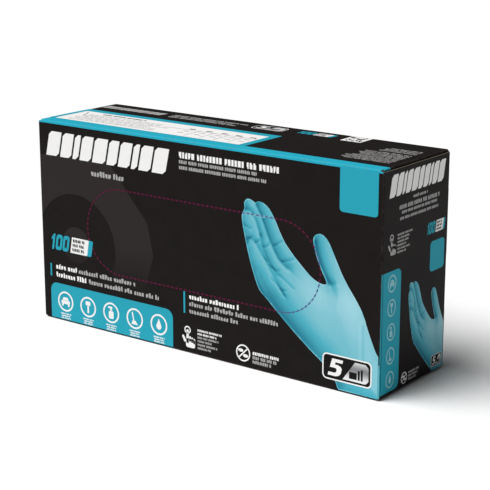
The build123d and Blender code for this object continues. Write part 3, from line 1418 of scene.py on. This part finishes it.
    def badge(self, side: Side, body: str, x: float, z: float, width: float, height: float) -> None:
        """The film's thickness in a bright outlined plate with a slanted split."""
        rim = height * 0.055
        radius = height * 0.2
        self.sheet(side, "white", 3, body).add(Shapes.tile(width, height, radius), x, z)
        inner = Shapes.tile(width - 2 * rim, height - 2 * rim, radius - rim)
        self.sheet(side, "black", 4, body).add(inner, x + rim, z + rim)
        split = width * 0.42
        top, base = z + height - 2.4 * rim, z + 2.4 * rim
        right = x + width - 2.4 * rim
        plate = [
            (x + split, base),
            (right - radius * 0.6, base),
            (right, base + radius * 0.6),
            (right, top - radius * 0.6),
            (right - radius * 0.6, top),
            (x + split + height * 0.52, top),
        ]
        self.sheet(side, "silver", 5, body).add(Shapes.outline(plate))
        size = (width * 0.26, height * 0.66 / 1.4)
        figures = self.sheet(side, "white", 5, body)
        figures.add(Shapes.figure("5"), x + width * 0.11, z + height * 0.17, size, lean=0.2)
        marks = self.sheet(side, "black", 6, body)
        for place, share, tall in ((0.55, 0.155, 0.26), (0.725, 0.04, 0.36), (0.785, 0.04, 0.42)):
            marks.add(Shapes.tile(width * share, height * tall), x + width * place, z + height * 0.22)

    def panel_art(self, side: Side, body: str) -> None:
        """The artwork of a long panel: title, count, notes, signs, tab and badge."""
        width, height = side.size()
        white = self.sheet(side, "white", 1, body)
        grey = self.sheet(side, "grey", 1, body)
        teal = self.sheet(side, "teal", 1, body)
        self.title(white, 5.8, 101.2, 95.0, 14.6)
        self.line(grey, 41.5, 93.0, 26.2, 3.3)
        self.line(white, 107.7, 111.9, 68.3, 3.4, True)
        self.line(grey, 107.7, 108.8, 53.3, 1.9, True)
        self.line(grey, 107.7, 105.6, 59.7, 1.9, True)
        self.count_tag(side, body, 6.2, 43.8, 33.8, 9.7)
        teal.add(Shapes.tile(1.2, 7.8), 5.9, 26.8)
        teal.add(Shapes.tile(1.2, 12.6), 109.8, 23.2)
        for base, bold, plain in ((31.9, 17.0, 46.0), (26.9, 25.0, 55.7)):
            self.line(white, 10.8, base, bold, 3.1)
            self.line(grey, 10.8 + bold + 1.5, base, plain - 1.5, 2.9)
        self.line(white, 114.0, 32.0, 35.2, 2.9)
        self.line(grey, 114.0, 27.9, 62.5, 2.7)
        self.line(grey, 114.0, 23.7, 34.2, 2.7)
        teal.add(Shapes.tile(96.0, 22.1, 5.0, "cd"), 5.8, self.tail)
        spots = [(17.7 + 18.4 * i, 12.3) for i in range(5)]
        small = self.sheet(side, "white", 2, body)
        self.icons(small, spots, self.icon_radius)
        for x, _ in spots:
            for row, long in enumerate((8.4, 7.0, 7.6)):
                self.line(small, x - long / 2, 4.1 - 1.35 * row, long, 0.85, True)
        self.touch_sign(white, 109.7, 3.2, 8.5, 12.3)
        for row, long in enumerate((17.2, 13.8, 15.0, 10.0, 14.4, 9.6)):
            self.line(white if row < 2 else grey, 119.8, 14.0 - 2.1 * row, long, 1.25, True)
        self.crossed_ring(white, 152.0, 8.0, 4.9, 1.0)
        for row, long in enumerate((18.0, 16.2, 13.0)):
            self.line(white if row == 0 else grey, 158.5, 8.3 - 2.5 * row, long, 1.8, True)
        self.badge(side, body, 204.6, 5.5, 30.8, 14.5)
        teal.add(Shapes.tile(23.1, height - 1.2 - 97.4, 2.0, "ab"), 213.8, 97.4)

    def ghost(self, side: Side, body: str, window_body: str | None) -> None:
        """The large dim six-sided nut behind the text, cut along the window."""
        centre = np.array((28.0, 49.0))
        reach, hole_radius, hub_radius = 60, 31, 11
        half_corner = 0.16
        sides = [math.radians(60 * i + 12) for i in range(6)]
        knots = []
        for angle in sides:
            for turn in (-half_corner, half_corner):
                knots.append((reach * math.cos(angle + turn), reach * math.sin(angle + turn)))
        nut = np.array(knots) + centre
        circle = np.linspace(0, 2 * math.pi, 49)[:-1]
        round_way = np.stack([np.cos(circle), np.sin(circle)], 1)
        hole, hub = round_way * hole_radius + centre, round_way * hub_radius + centre
        self._split_shape(
            side,
            "ghost",
            [nut, hole, hub],
            lambda p: inside(p, nut) & (~inside(p, hole) | inside(p, hub)),
            body,
            window_body,
        )

    def _flat(self, side: Side) -> Callable[[np.ndarray], np.ndarray]:
        """Says which places lie on the flat of a side, clear of its rounded edges."""
        width, height = side.size()
        low, right, top = self.tail, width - self.tail, height - self.tail
        return lambda p: (p[:, 0] > low) & (p[:, 0] < right) & (p[:, 1] > low) & (p[:, 1] < top)

    def _border(self, side: Side) -> np.ndarray:
        """The edge of the flat of a side."""
        width, height = side.size()
        low = self.tail
        corners = ((low, low), (width - low, low), (width - low, height - low), (low, height - low))
        return np.array(corners)

    def _split_shape(
        self,
        side: Side,
        ink: str,
        loops: list[np.ndarray],
        wanted: Callable[[np.ndarray], np.ndarray],
        body: str,
        window_body: str | None,
    ) -> None:
        """Prints a shape on the board round the window and on the window, with the cut left open."""
        flat = self._flat(side)
        border = self._border(side)
        label = side.name.lower()
        material = getattr(self.inks, ink)
        if window_body is None:
            points, faces = filled([*loops, border], lambda p: wanted(p) & flat(p), 400.0)
            lay_ink(f"{label}_{ink}_print", flat_mesh("flat", points, faces), side, material, 1, body)
            return
        clear = self.window.clear
        outer, inner = self.window.loop(clear), self.window.loop(-clear)
        points, faces = filled(
            [*loops, border, outer], lambda p: wanted(p) & flat(p) & ~inside(p, outer), 400.0
        )
        lay_ink(f"{label}_{ink}_print", flat_mesh("flat", points, faces), side, material, 1, body)
        points, faces = filled([*loops, inner], lambda p: wanted(p) & inside(p, inner), 400.0)
        lay_ink(f"window_{ink}_print", flat_mesh("flat", points, faces), side, material, 1, window_body)

    def front_hand(self, side: Side, body: str, window_body: str | None) -> None:
        """The large hand, cut along the window if there is one on that side."""
        flat, border = self._flat(side), self._border(side)
        label = side.name.lower()

        def stay(places: np.ndarray) -> np.ndarray:
            """The hand is already in its place on a long panel."""
            return places

        if window_body is None:
            mesh = self.hand.mesh(stay, [border], flat)
            lay_ink(f"{label}_hand_print", mesh, side, self.inks.hand, 1, body)
            return
        clear = self.window.clear
        outer, inner = self.window.loop(clear), self.window.loop(-clear)
        mesh = self.hand.mesh(stay, [border, outer], lambda p: flat(p) & ~inside(p, outer))
        lay_ink(f"{label}_hand_print", mesh, side, self.inks.hand, 1, body)
        mesh = self.hand.mesh(stay, [inner], lambda p: inside(p, inner))
        lay_ink("window_hand_print", mesh, side, self.inks.hand, 1, window_body)

    def perforation(self, body: str, window_body: str) -> None:
        """The printed dashes on both sides of the cut, which look mauve where they cross the hand."""
        hand = self.hand.loop()
        for outer, owner, name in ((True, body, "front"), (False, window_body, "window")):
            plain = InkSheet(f"{name}_dashes", Side.FRONT, self.inks.magenta, 1, owner)
            over = InkSheet(f"{name}_dashes_on_hand", Side.FRONT, self.inks.mauve, 1, owner)
            for quad in self.window.dashes(outer):
                crosses = inside(np.array([quad[1]]), hand)[0]
                (over if crosses else plain).add(Shapes.outline(quad))
            plain.finish()
            over.finish()

    def end_art(self, side: Side, body: str) -> None:
        """The artwork of an end."""
        white = self.sheet(side, "white", 1, body)
        grey = self.sheet(side, "grey", 1, body)
        teal = self.sheet(side, "teal", 1, body)
        self.title(white, 5.4, 106.6, 56.0, 11.6)
        self.line(grey, 28.8, 102.9, 15.0, 1.8)
        notes = ((99.0, 15.4, 40.0, 2.2), (96.4, 17.9, 35.4, 1.5), (93.3, 16.3, 38.3, 1.5))
        for base, start, long, tall in notes:
            self.line(grey, start, base, long, tall, True)
        self.touch_sign(grey, 6.3, 76.3, 6.9, 10.9)
        for row, end in enumerate((28.8, 26.3, 25.0, 22.9, 26.3, 22.9)):
            self.line(grey, 14.3, 85.4 - 1.85 * row, end - 14.3, 1.1, True)
        self.count_tag(side, body, 43.3, 79.7, 18.6, 6.3)
        teal.add(Shapes.tile(14.8, 16.7, 2.5), 47.9, 58.5)
        teal.add(Shapes.tile(17.4, 65.6, 3.5, "bc"), 1.35, 2.4)
        pale = self.sheet(side, "pale", 2, body)
        self.icons(pale, [(10.2, 61.2 - 13.03 * i) for i in range(5)], 4.7, 0.85)
        self.crossed_ring(white, 24.6, 5.8, 3.3, 0.92)
        for row, long in enumerate((11.0, 9.6, 8.0)):
            self.line(grey, 29.0, 7.0 - 1.9 * row, long, 1.2, True)
        self.badge(side, body, 52.6, 3.4, 11.0, 6.7)
        self._end_hand(side, body)

    def _end_hand(self, side: Side, body: str) -> None:
        """The hand again, narrower, on an end flap."""
        width, _ = side.size()
        box = np.array(((1.3, 1.4), (width - 2.3, 1.4), (width - 2.3, 118.0), (1.3, 118.0)))

        def shrink(places: np.ndarray) -> np.ndarray:
            """From the long panel's place to the end's."""
            return (places - np.array((151.2, 95.4))) * np.array((0.51, 0.685)) + np.array((27.0, 57.2))

        mesh = self.hand.mesh(shrink, [box], lambda p: inside(p, box), 0.7)
        lay_ink(f"{side.name.lower()}_hand_print", mesh, side, self.inks.hand, 1, body)

    def top_art(self, body: str) -> None:
        """The size table, the notes and the small marks on the top."""
        side = Side.TOP
        teal = self.sheet(side, "teal", 1, body)
        white = self.sheet(side, "white", 1, body)
        grey = self.sheet(side, "grey", 1, body)
        dim = self.sheet(side, "grey", 3, body)
        teal.add(Shapes.tile(145.6, 34.4), 1.4, 8.05)
        self.sheet(side, "white", 2, body).add(Shapes.tile(136.9, 27.7), 5.4, 8.8)
        rule = self.sheet(side, "black", 3, body)
        for row in range(6):
            self.line(dim, 12.0 + 3.0 * (row % 2), 12.2 + 3.1 * row, 66.0 - 4.0 * (row % 3), 1.7)
        self.line(rule, 22.0, 31.6, 34.0, 2.2, True)
        for column, x in enumerate((95.0, 107.0, 118.0, 128.0, 138.0)):
            self.line(rule, x - 2.4, 27.2, 4.8, 2.2, True)
            self.line(dim, x - 2.0, 21.0, 4.0, 1.6, True)
            self.line(dim, x - 2.0, 16.0, 4.0, 1.6, True)
            if column:
                rule.add(Shapes.tile(0.35, 15.0), x - 5.6, 11.5)
        rule.add(Shapes.tile(66.0, 0.35), 76.0, 25.4)
        swoosh = []
        for step in range(7):
            dip = 17.0 * math.sin(math.pi * step / 12) ** 2 * (step / 12)
            swoosh.append((8.0 + 0.9 * step, 33.5 - dip))
        rule.add(Shapes.stroke(swoosh, 0.5))
        self.title(grey, 3.0, 51.8, 48.0, 6.8)
        for row, long in enumerate((55.0, 46.0, 50.0)):
            self.line(grey, 57.0, 56.6 - 2.9 * row, long, 1.8, True)
        self.badge(side, body, 117.0, 52.4, 21.5, 9.6)
        self.count_tag(side, body, 146.5, 55.4, 24.0, 6.4)
        self._code_patch(side, body, 178.4, 52.6, 13.2)
        for top, count, long in ((48.8, 4, 23.0), (37.2, 5, 30.0), (25.2, 5, 34.0)):
            for row in range(count):
                short = long * self.chance.uniform(0.82, 1.0)
                self.line(grey, 233.0, top - 2.3 * row, short, 1.5, False, True)

    def _code_patch(self, side: Side, body: str, x: float, y: float, size: float) -> None:
        """A white square of random dark cells, which codes nothing."""
        cells = 11
        pitch = size / (cells + 2)
        self.sheet(side, "white", 1, body).add(Shapes.tile(size, size), x, y)
        cell = Shapes.tile(1.0, 1.0)
        black = self.sheet(side, "black", 2, body)
        for spot in range(cells * cells):
            if self.chance.random() < 0.48:
                row, column = divmod(spot, cells)
                cell_x = x + pitch * (column + 1.03)
                cell_y = y + pitch * (row + 1.03)
                black.add(cell, cell_x, cell_y, (pitch * 0.94,) * 2, keep=True)

    def bottom_art(self, body: str) -> None:
        """Rows of notes, a bar patch that codes nothing, and a teal edge."""
        side = Side.BOTTOM
        width, height = side.size()
        grey = self.sheet(side, "grey", 1, body)
        teal = self.sheet(side, "teal", 1, body)
        white = self.sheet(side, "white", 1, body)
        black = self.sheet(side, "black", 2, body)
        teal.add(Shapes.tile(width - 4.0, 2.2), 2.0, height - 3.4)
        self.title(white, 8.0, 46.0, 60.0, 9.0)
        for row in range(9):
            self.line(grey, 8.0, 38.0 - 3.4 * row, 84.0 * self.chance.uniform(0.8, 1.0), 1.8)
        for row in range(12):
            self.line(grey, 104.0, 54.0 - 3.6 * row, 60.0 * self.chance.uniform(0.8, 1.0), 1.8)
        white.add(Shapes.tile(42.0, 26.0), 184.0, 20.0)
        bar = Shapes.tile(1.0, 20.0)
        at = 187.0
        while at < 222.0:
            wide = self.chance.choice((0.4, 0.4, 0.7, 1.1))
            black.add(bar, at, 24.0, (wide, 1.0), keep=True)
            at += wide + self.chance.choice((0.5, 0.5, 0.8, 1.2))

    def build(self) -> None:
        """Prints every side."""
        self.prepare()
        self.ghost(Side.FRONT, "carton", "tear_out")
        self.front_hand(Side.FRONT, "carton", "tear_out")
        self.panel_art(Side.FRONT, "carton")
        self.perforation("carton", "tear_out")
        self.ghost(Side.BACK, "carton", None)
        self.front_hand(Side.BACK, "carton", None)
        self.panel_art(Side.BACK, "carton")
        self.end_art(Side.RIGHT, "right_outer_flap")
        self.end_art(Side.LEFT, "left_outer_flap")
        self.top_art("carton")
        self.bottom_art("carton")
        for sheet in self.sheets.values():
            sheet.finish()


# ---------------------------------------------------------------- the board


@dataclass
class Board:
    """The folded blank: every panel and flap is a node of the frame and is dressed here."""

    fold_radius: float = 0.0008
    band_drop: float = 0.0017
    band_depth: float = 0.0080

    def _box(self, reach: float) -> tuple[Vector, Vector]:
        """The carton's outer box with another half length."""
        low, high = cad_box
        return Vector((-reach, low.y, low.z)), Vector((reach, high.y, high.z))

    def dress(self) -> None:
        """Gives each board node the finish that fits the way it faces."""
        low, high = cad_box
        band = Patch(
            Vector((low.x - 1, low.y - 1, high.z - self.band_drop)),
            Vector((high.x - 0.0006, low.y + self.band_depth, high.z + 1)),
            TEAL_BAND,
        )
        strip = Patch(
            Vector((high.x - 0.0006, low.y + 0.0002, low.z + 0.0024)),
            Vector((high.x + 1, low.y + 0.0011, low.z + 0.068)),
            TEAL,
        )
        cuff = Patch(
            Vector((high.x - 0.0008, low.y - 1, low.z)),
            Vector((high.x - 0.00012, low.y + 1, low.z + 0.0195)),
            paint(112, 200, 214),
        )
        groups = {
            "board_front": (("front_panel", "tear_out_panel"), None, Coat.FLOOD, (band, cuff, strip)),
            "board_top": (("top_panel",), "top_panel", Coat.FLOOD, (band,)),
            "board_bottom": (("bottom_panel",), "bottom_panel", Coat.FLOOD, ()),
            "board_back": (("back_panel", "glue_flap"), "back_panel", Coat.FLOOD, ()),
            "board_outer_flap": (("right_outer_flap", "left_outer_flap"), None, Coat.FLOOD, ()),
            "board_inner_flap": (
                ("right_inner_flap", "left_inner_flap"),
                "right_inner_flap",
                Coat.BLEED_FROM_BACK,
                (),
            ),
            "board_dust_flap": (
                tuple(f"{end}_{row}_dust_flap" for end in ("right", "left") for row in ("top", "bottom")),
                "right_top_dust_flap",
                Coat.BLEED_FROM_TOP,
                (),
            ),
        }
        for name, (nodes, measured, coat, patches) in groups.items():
            reach = high.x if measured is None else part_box(measured)[1].x
            box = self._box(reach)
            finish = BoardFinish(name, box[0], box[1], self.fold_radius, coat, patches)
            material = finish.material()
            for node in nodes:
                dress_node(node, material)
            LOG.info("%s on %s", name, ", ".join(nodes))


def dress_node(node: str, material: Material) -> None:
    """Puts one finish on all the material slots of a node of the frame."""
    mesh = frame["nodes"][node].data
    if not mesh.materials:
        mesh.materials.append(material)
    for index in range(len(mesh.materials)):
        mesh.materials[index] = material


# ---------------------------------------------------------------- the gloves


@dataclass
class Wrinkles:
    """Gentle folds that all the gloves of the stack share, as they lie in one another."""

    chance: random.Random
    waves: list[tuple[float, float, float, float]] = field(default_factory=list)

    def __post_init__(self) -> None:
        """Draws the waves: how many per metre along and up, their phase and their share."""
        for size in (14.0, 22.0, 37.0, 61.0, 95.0):
            for _ in range(3):
                angle = self.chance.uniform(0, math.pi)
                phase = self.chance.uniform(0, 2 * math.pi)
                share = 1.0 / size**0.8
                self.waves.append((size * math.cos(angle), size * math.sin(angle), phase, share))

    def at(self, x: np.ndarray, z: np.ndarray) -> np.ndarray:
        """The folds' height at places in metres, from 0 to 1."""
        total = sum(share for *_, share in self.waves)
        height = np.zeros_like(x)
        for along, up, phase, share in self.waves:
            height += share * np.sin(2 * math.pi * (along * x + up * z) + phase)
        return np.clip(0.5 + 0.9 * height / total, 0, 1)


@dataclass
class GloveStack:
    """Ninety-nine gloves lying on one another, each glove its own film, eleven to a node."""

    material: Material
    wrinkles: Wrinkles
    film: float = 0.000254
    pitch: float = 0.000545
    per_node: int = 11
    nodes: int = 9
    rear: float = 0.0320
    middle: float = 0.061
    most_fold: float = 0.0024
    grid: float = 7.5
    cuff_end: float = 112.4  # from the glove's middle to its cuff, mm
    roll_width: float = 2.5  # mm
    cuff_roll: float = 0.10  # mm
    stray: float = 0.0008
    most_turn: float = 0.5  # degrees

    def outline_loops(self) -> list[np.ndarray]:
        """The palm, the four fingers and the thumb as closed outlines in mm."""
        palm = smooth_loop(
            [(-112, -43), (-92, -42.6), (-70, -41), (-48, -45), (-26, -48.5), (4, -49), (24, -48),
             (27, 0), (24, 45), (2, 47), (-22, 45.6), (-70, 41), (-92, 42.6), (-112, 43)], 2
        )  # fmt: skip
        palm[:, 0] = np.clip(palm[:, 0], -self.cuff_end, 60)
        fingers = [(33.5, 89.0, 12.0), (9.5, 100.0, 12.4), (-15.0, 92.0, 11.9), (-37.5, 72.0, 10.9)]
        loops = [palm]
        for across, reach, radius in fingers:
            loops.append(self._pod((8.0, across), (reach, across), radius * 1.04, radius * 0.9))
        loops.append(self._pod((-46.0, 25.5), (36.0, 45.0), 12.4, 11.0))
        return loops

    @staticmethod
    def _pod(root: Point, tip: Point, wide: float, narrow: float) -> np.ndarray:
        """A finger's outline: round at both ends and slimmer at its tip."""
        start, end = np.array(root), np.array(tip)
        way = (end - start) / np.linalg.norm(end - start)
        heading = math.atan2(way[1], way[0])
        fore = np.linspace(heading - math.pi / 2, heading + math.pi / 2, 9)
        aft = np.linspace(heading + math.pi / 2, heading + 1.5 * math.pi, 6)
        front = end + narrow * np.stack([np.cos(fore), np.sin(fore)], 1)
        back = start + wide * np.stack([np.cos(aft), np.sin(aft)], 1)
        return np.concatenate([front, back])

    def one_glove(self) -> Mesh:
        """One glove lying flat, its cuff to the left, with its film's thickness and a rolled cuff."""
        loops = self.outline_loops()

        def wanted(places: np.ndarray) -> np.ndarray:
            """Inside the palm or any finger."""
            found = np.full(len(places), False)
            for loop in loops:
                found |= inside(places, loop)
            return found

        points, faces = filled(loops, wanted, self.grid)
        flat = flat_mesh("one_glove", points, faces)
        obj = bpy.data.objects.new("one_glove", flat)
        bpy.context.scene.collection.objects.link(obj)
        modify(obj, "SOLIDIFY", thickness=self.film / MM, offset=0.0)
        mesh = take_mesh(obj)
        for vertex in mesh.vertices:
            near = max(0.0, 1 - (vertex.co.x + self.cuff_end) / self.roll_width)
            vertex.co.z += math.copysign(self.cuff_roll * near, vertex.co.z)
        return mesh

    def place_glove(self, mesh: Mesh, index: int, chance: random.Random) -> np.ndarray:
        """The places of one glove's points in the row frame.

        Args:
            mesh: The flat glove in mm.
            index: The glove's number, from the back.
            chance: Draws how far the glove is off its place.

        Returns:
            The places, in metres.
        """
        flat = np.array([v.co for v in mesh.vertices]) * MM
        turn = math.radians(chance.uniform(-self.most_turn, self.most_turn))
        across = flat[:, 0] * math.cos(turn) - flat[:, 1] * math.sin(turn)
        up = flat[:, 0] * math.sin(turn) + flat[:, 1] * math.cos(turn)
        flip = -1.0 if index % 2 else 1.0
        x = across * flip + chance.uniform(-self.stray, self.stray)
        z = up * flip + self.middle + chance.uniform(-self.stray, self.stray)
        share = ((index + 1) / (self.per_node * self.nodes)) ** 2
        fold = self.wrinkles.at(x, z) * self.most_fold * share
        back = self.rear - self.pitch * index - self.film / 2
        return np.stack([x, back - flat[:, 2] - fold, z], 1)

    def build(self) -> None:
        """Builds the nine bundles."""
        chance = random.Random(STACK_SEED)
        glove = self.one_glove()
        faces = [tuple(p.vertices) for p in glove.polygons]
        for node in range(self.nodes):
            points, polygons = [], []
            for one in range(self.per_node):
                index = node * self.per_node + one
                start = len(glove.vertices) * one
                points.append(self.place_glove(glove, index, chance))
                polygons += [tuple(start + i for i in face) for face in faces]
            mesh = bpy.data.meshes.new("gloves")
            mesh.from_pydata(np.concatenate(points).tolist(), [], polygons)
            obj = show(f"gloves_{node + 1:02d}", mesh, self.material, "carton")
            outward_and_smooth(obj)
            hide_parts(f"glove_layer_{node + 1:02d}")
            LOG.info("%s: %d faces", obj.name, len(mesh.polygons))


def outward_and_smooth(obj: Object) -> None:
    """Turns every face outwards and shades the piece smooth."""
    edit(obj)
    bpy.ops.mesh.select_all(action="SELECT")
    bpy.ops.mesh.normals_make_consistent(inside=False)
    close_edit()
    bpy.ops.object.shade_smooth_by_angle(angle=math.radians(50))


@dataclass
class FirstGlove:
    """The glove on offer: folded over in four, crumpled, with a tuft that stands up behind the window."""

    material: Material
    wrinkles: Wrinkles
    steps_along: int = 64
    steps_up: int = 10
    layers: int = 4
    tuft: float = 0.0030
    crumple: float = 0.0017
    film: float = 0.00016
    fold: float = 0.0024

    def build(self) -> None:
        """Builds the glove."""
        low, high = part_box("first_glove")
        profile = self._profile(low, high)
        columns = np.linspace(low.x, high.x, self.steps_along)
        chance = random.Random(5)
        points = []
        for x in columns:
            end = min(x - low.x, high.x - x)
            narrow = 0.96 - 0.16 * math.exp(-end / 0.006) - 0.04 * math.sin(x * 170 + 0.8)
            for y, z in profile:
                middle = (low.z + high.z) / 2
                height = middle + (z - middle) * narrow
                depth = (high.y - y) / (high.y - low.y)
                standing = self._tuft_at(x, height) + self._crumple_at(x, height)
                shift = self._fold_at(x, height) + (0.35 + 0.65 * depth) * standing
                points.append((x + chance.uniform(-1, 1) * 0.0002, y - shift, height))
        count = len(profile)
        faces = []
        for column in range(self.steps_along - 1):
            for row in range(count - 1):
                a = column * count + row
                faces.append((a, a + 1, a + count + 1, a + count))
        mesh = bpy.data.meshes.new("first_glove")
        mesh.from_pydata(points, [], faces)
        obj = bpy.data.objects.new("first_glove_film", mesh)
        bpy.context.scene.collection.objects.link(obj)
        modify(obj, "SOLIDIFY", thickness=self.film, offset=0.0)
        modify(obj, "SUBSURF", levels=1, render_levels=1)
        outward_and_smooth(obj)
        obj.data.materials.clear()
        obj.data.materials.append(self.material)
        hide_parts("first_glove")
        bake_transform(obj)
        LOG.info("%s: %d faces", obj.name, len(obj.data.polygons))

    def _profile(self, low: Vector, high: Vector) -> list[Point]:
        """The cross-section: a strip of film folded back on itself, from the back to the front."""
        found = []
        pitch = (high.y - low.y) / self.layers
        radius = pitch / 2
        for layer in range(self.layers):
            y = high.y - pitch * (layer + 0.5)
            reach = np.linspace(low.z + radius, high.z - radius, self.steps_up)
            inset = 0.0012 * layer
            reach = np.clip(reach, low.z + radius + inset * 0.4, high.z - radius - inset)
            row = reach if layer % 2 == 0 else reach[::-1]
            found += [(y, z) for z in row]
            if layer < self.layers - 1:
                outward = 1 if layer % 2 == 0 else -1
                found.append((y - pitch / 2, row[-1] + outward * radius))
        return found

    def _fold_at(self, x: float, z: float) -> float:
        """The fold that the glove shares with the stack under it."""
        return float(self.wrinkles.at(np.array([x]), np.array([z]))[0]) * self.fold

    def _crumple_at(self, x: float, z: float) -> float:
        """How far the film is rucked up there: slanted soft ridges that wander."""
        slant = 330 * x + 150 * (z - 0.061) + 1.6 * math.sin(95 * x + 2.0) + 0.9 * math.sin(260 * z)
        return self.crumple * (0.5 + 0.5 * math.sin(slant)) ** 1.6

    def _tuft_at(self, x: float, z: float) -> float:
        """How far the tuft stands up."""
        away = (x / 0.020) ** 2 + ((z - 0.061) / 0.0075) ** 2
        ridge = 1 + 0.35 * math.sin(x * 420) * math.exp(-away)
        return self.tuft * math.exp(-away) * ridge


# ---------------------------------------------------------------- the studio


@dataclass
class Studio:
    """The camera, the floor and the light."""

    lens: float = 108.4
    eye: Vector = field(default_factory=lambda: Vector((0.4971, -0.6452, 0.2768)))
    way: Vector = field(default_factory=lambda: Vector((-0.58337, 0.76931, -0.26046)))
    floor_half: float = 6.0
    sun_power: float = 3.75
    sun_spread: float = 44.0
    sun_from: Vector = field(default_factory=lambda: Vector((-0.34, -0.38, 0.86)))
    room_light: float = 0.08

    def camera(self) -> None:
        """Sets up the camera."""
        data = bpy.data.cameras.new("camera")
        data.lens = self.lens
        data.sensor_width = 36.0
        data.clip_start = 0.05
        data.clip_end = 50.0
        camera = bpy.data.objects.new("camera", data)
        camera.rotation_mode = "QUATERNION"
        camera.rotation_quaternion = self.way.to_track_quat("-Z", "Y")
        camera.location = self.eye
        bpy.context.scene.collection.objects.link(camera)
        bpy.context.scene.camera = camera

    def floor(self) -> None:
        """Lays the pale floor."""
        bpy.ops.mesh.primitive_plane_add(size=2 * self.floor_half, location=(0, 0, 0))
        floor = bpy.context.object
        floor.name = "floor"
        floor.data.transform(Matrix.Translation((0, 0, cad_box[0].z - 0.00012)))
        graph = Graph("floor_paper")
        tint = graph.mix(graph.noise(3.0, 2.0), paint(250, 250, 250), paint(247, 247, 247))
        paper = graph.finish(
            Base_Color=tint,
            Roughness=0.9,
            Specular_IOR_Level=0.1,
        )
        floor.data.materials.append(paper)

    def light(self) -> None:
        """Hangs one large soft light and gives the room an even dim light before a white backdrop."""
        data = bpy.data.lights.new("soft_key", "SUN")
        data.energy = self.sun_power
        data.angle = math.radians(self.sun_spread)
        lamp = bpy.data.objects.new("soft_key", data)
        lamp.rotation_mode = "QUATERNION"
        lamp.rotation_quaternion = (-self.sun_from).to_track_quat("-Z", "Y")
        bpy.context.scene.collection.objects.link(lamp)
        world = bpy.data.worlds.new("room")
        world.use_nodes = True
        tree = world.node_tree
        tree.nodes.clear()
        rays = tree.nodes.new("ShaderNodeLightPath")
        strength = tree.nodes.new("ShaderNodeMapRange")
        strength.inputs["To Min"].default_value = self.room_light
        strength.inputs["To Max"].default_value = 1.0
        background = tree.nodes.new("ShaderNodeBackground")
        output = tree.nodes.new("ShaderNodeOutputWorld")
        tree.links.new(rays.outputs["Is Camera Ray"], strength.inputs["Value"])
        tree.links.new(strength.outputs["Result"], background.inputs["Strength"])
        tree.links.new(background.outputs[0], output.inputs["Surface"])
        background.inputs["Color"].default_value = (1.0, 1.0, 1.0, 1.0)
        bpy.context.scene.world = world
        bpy.context.scene.view_settings.view_transform = "Standard"

    def build(self) -> None:
        """Sets up all of it."""
        self.camera()
        self.floor()
        self.light()


def main() -> None:
    """Dresses the carton, prints it, fills it with gloves and lights it."""
    logging.basicConfig(level=logging.INFO, format="%(message)s")
    pick()
    Studio().build()
    Board().dress()
    glue = GlueFinish("hot_melt_amber").material()
    for node in frame["nodes"]:
        if "glue" in node and node != "glue_flap":
            dress_node(node, glue)
    low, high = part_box("tear_out_panel")
    corner = cad_box[0]
    centre = (((low.x + high.x) / 2 - corner.x) / MM, ((low.z + high.z) / 2 - corner.z) / MM)
    window = Window(centre, (high.x - low.x) / MM, (high.z - low.z) / MM)
    Artwork(Inks.mixed(), window, PrintedHand(), random.Random(PRINT_SEED)).build()
    nitrile = NitrileFinish("nitrile_film").material()
    wrinkles = Wrinkles(random.Random(WRINKLE_SEED))
    GloveStack(nitrile, wrinkles).build()
    FirstGlove(nitrile, wrinkles).build()


if __name__ == "__main__":
    main()
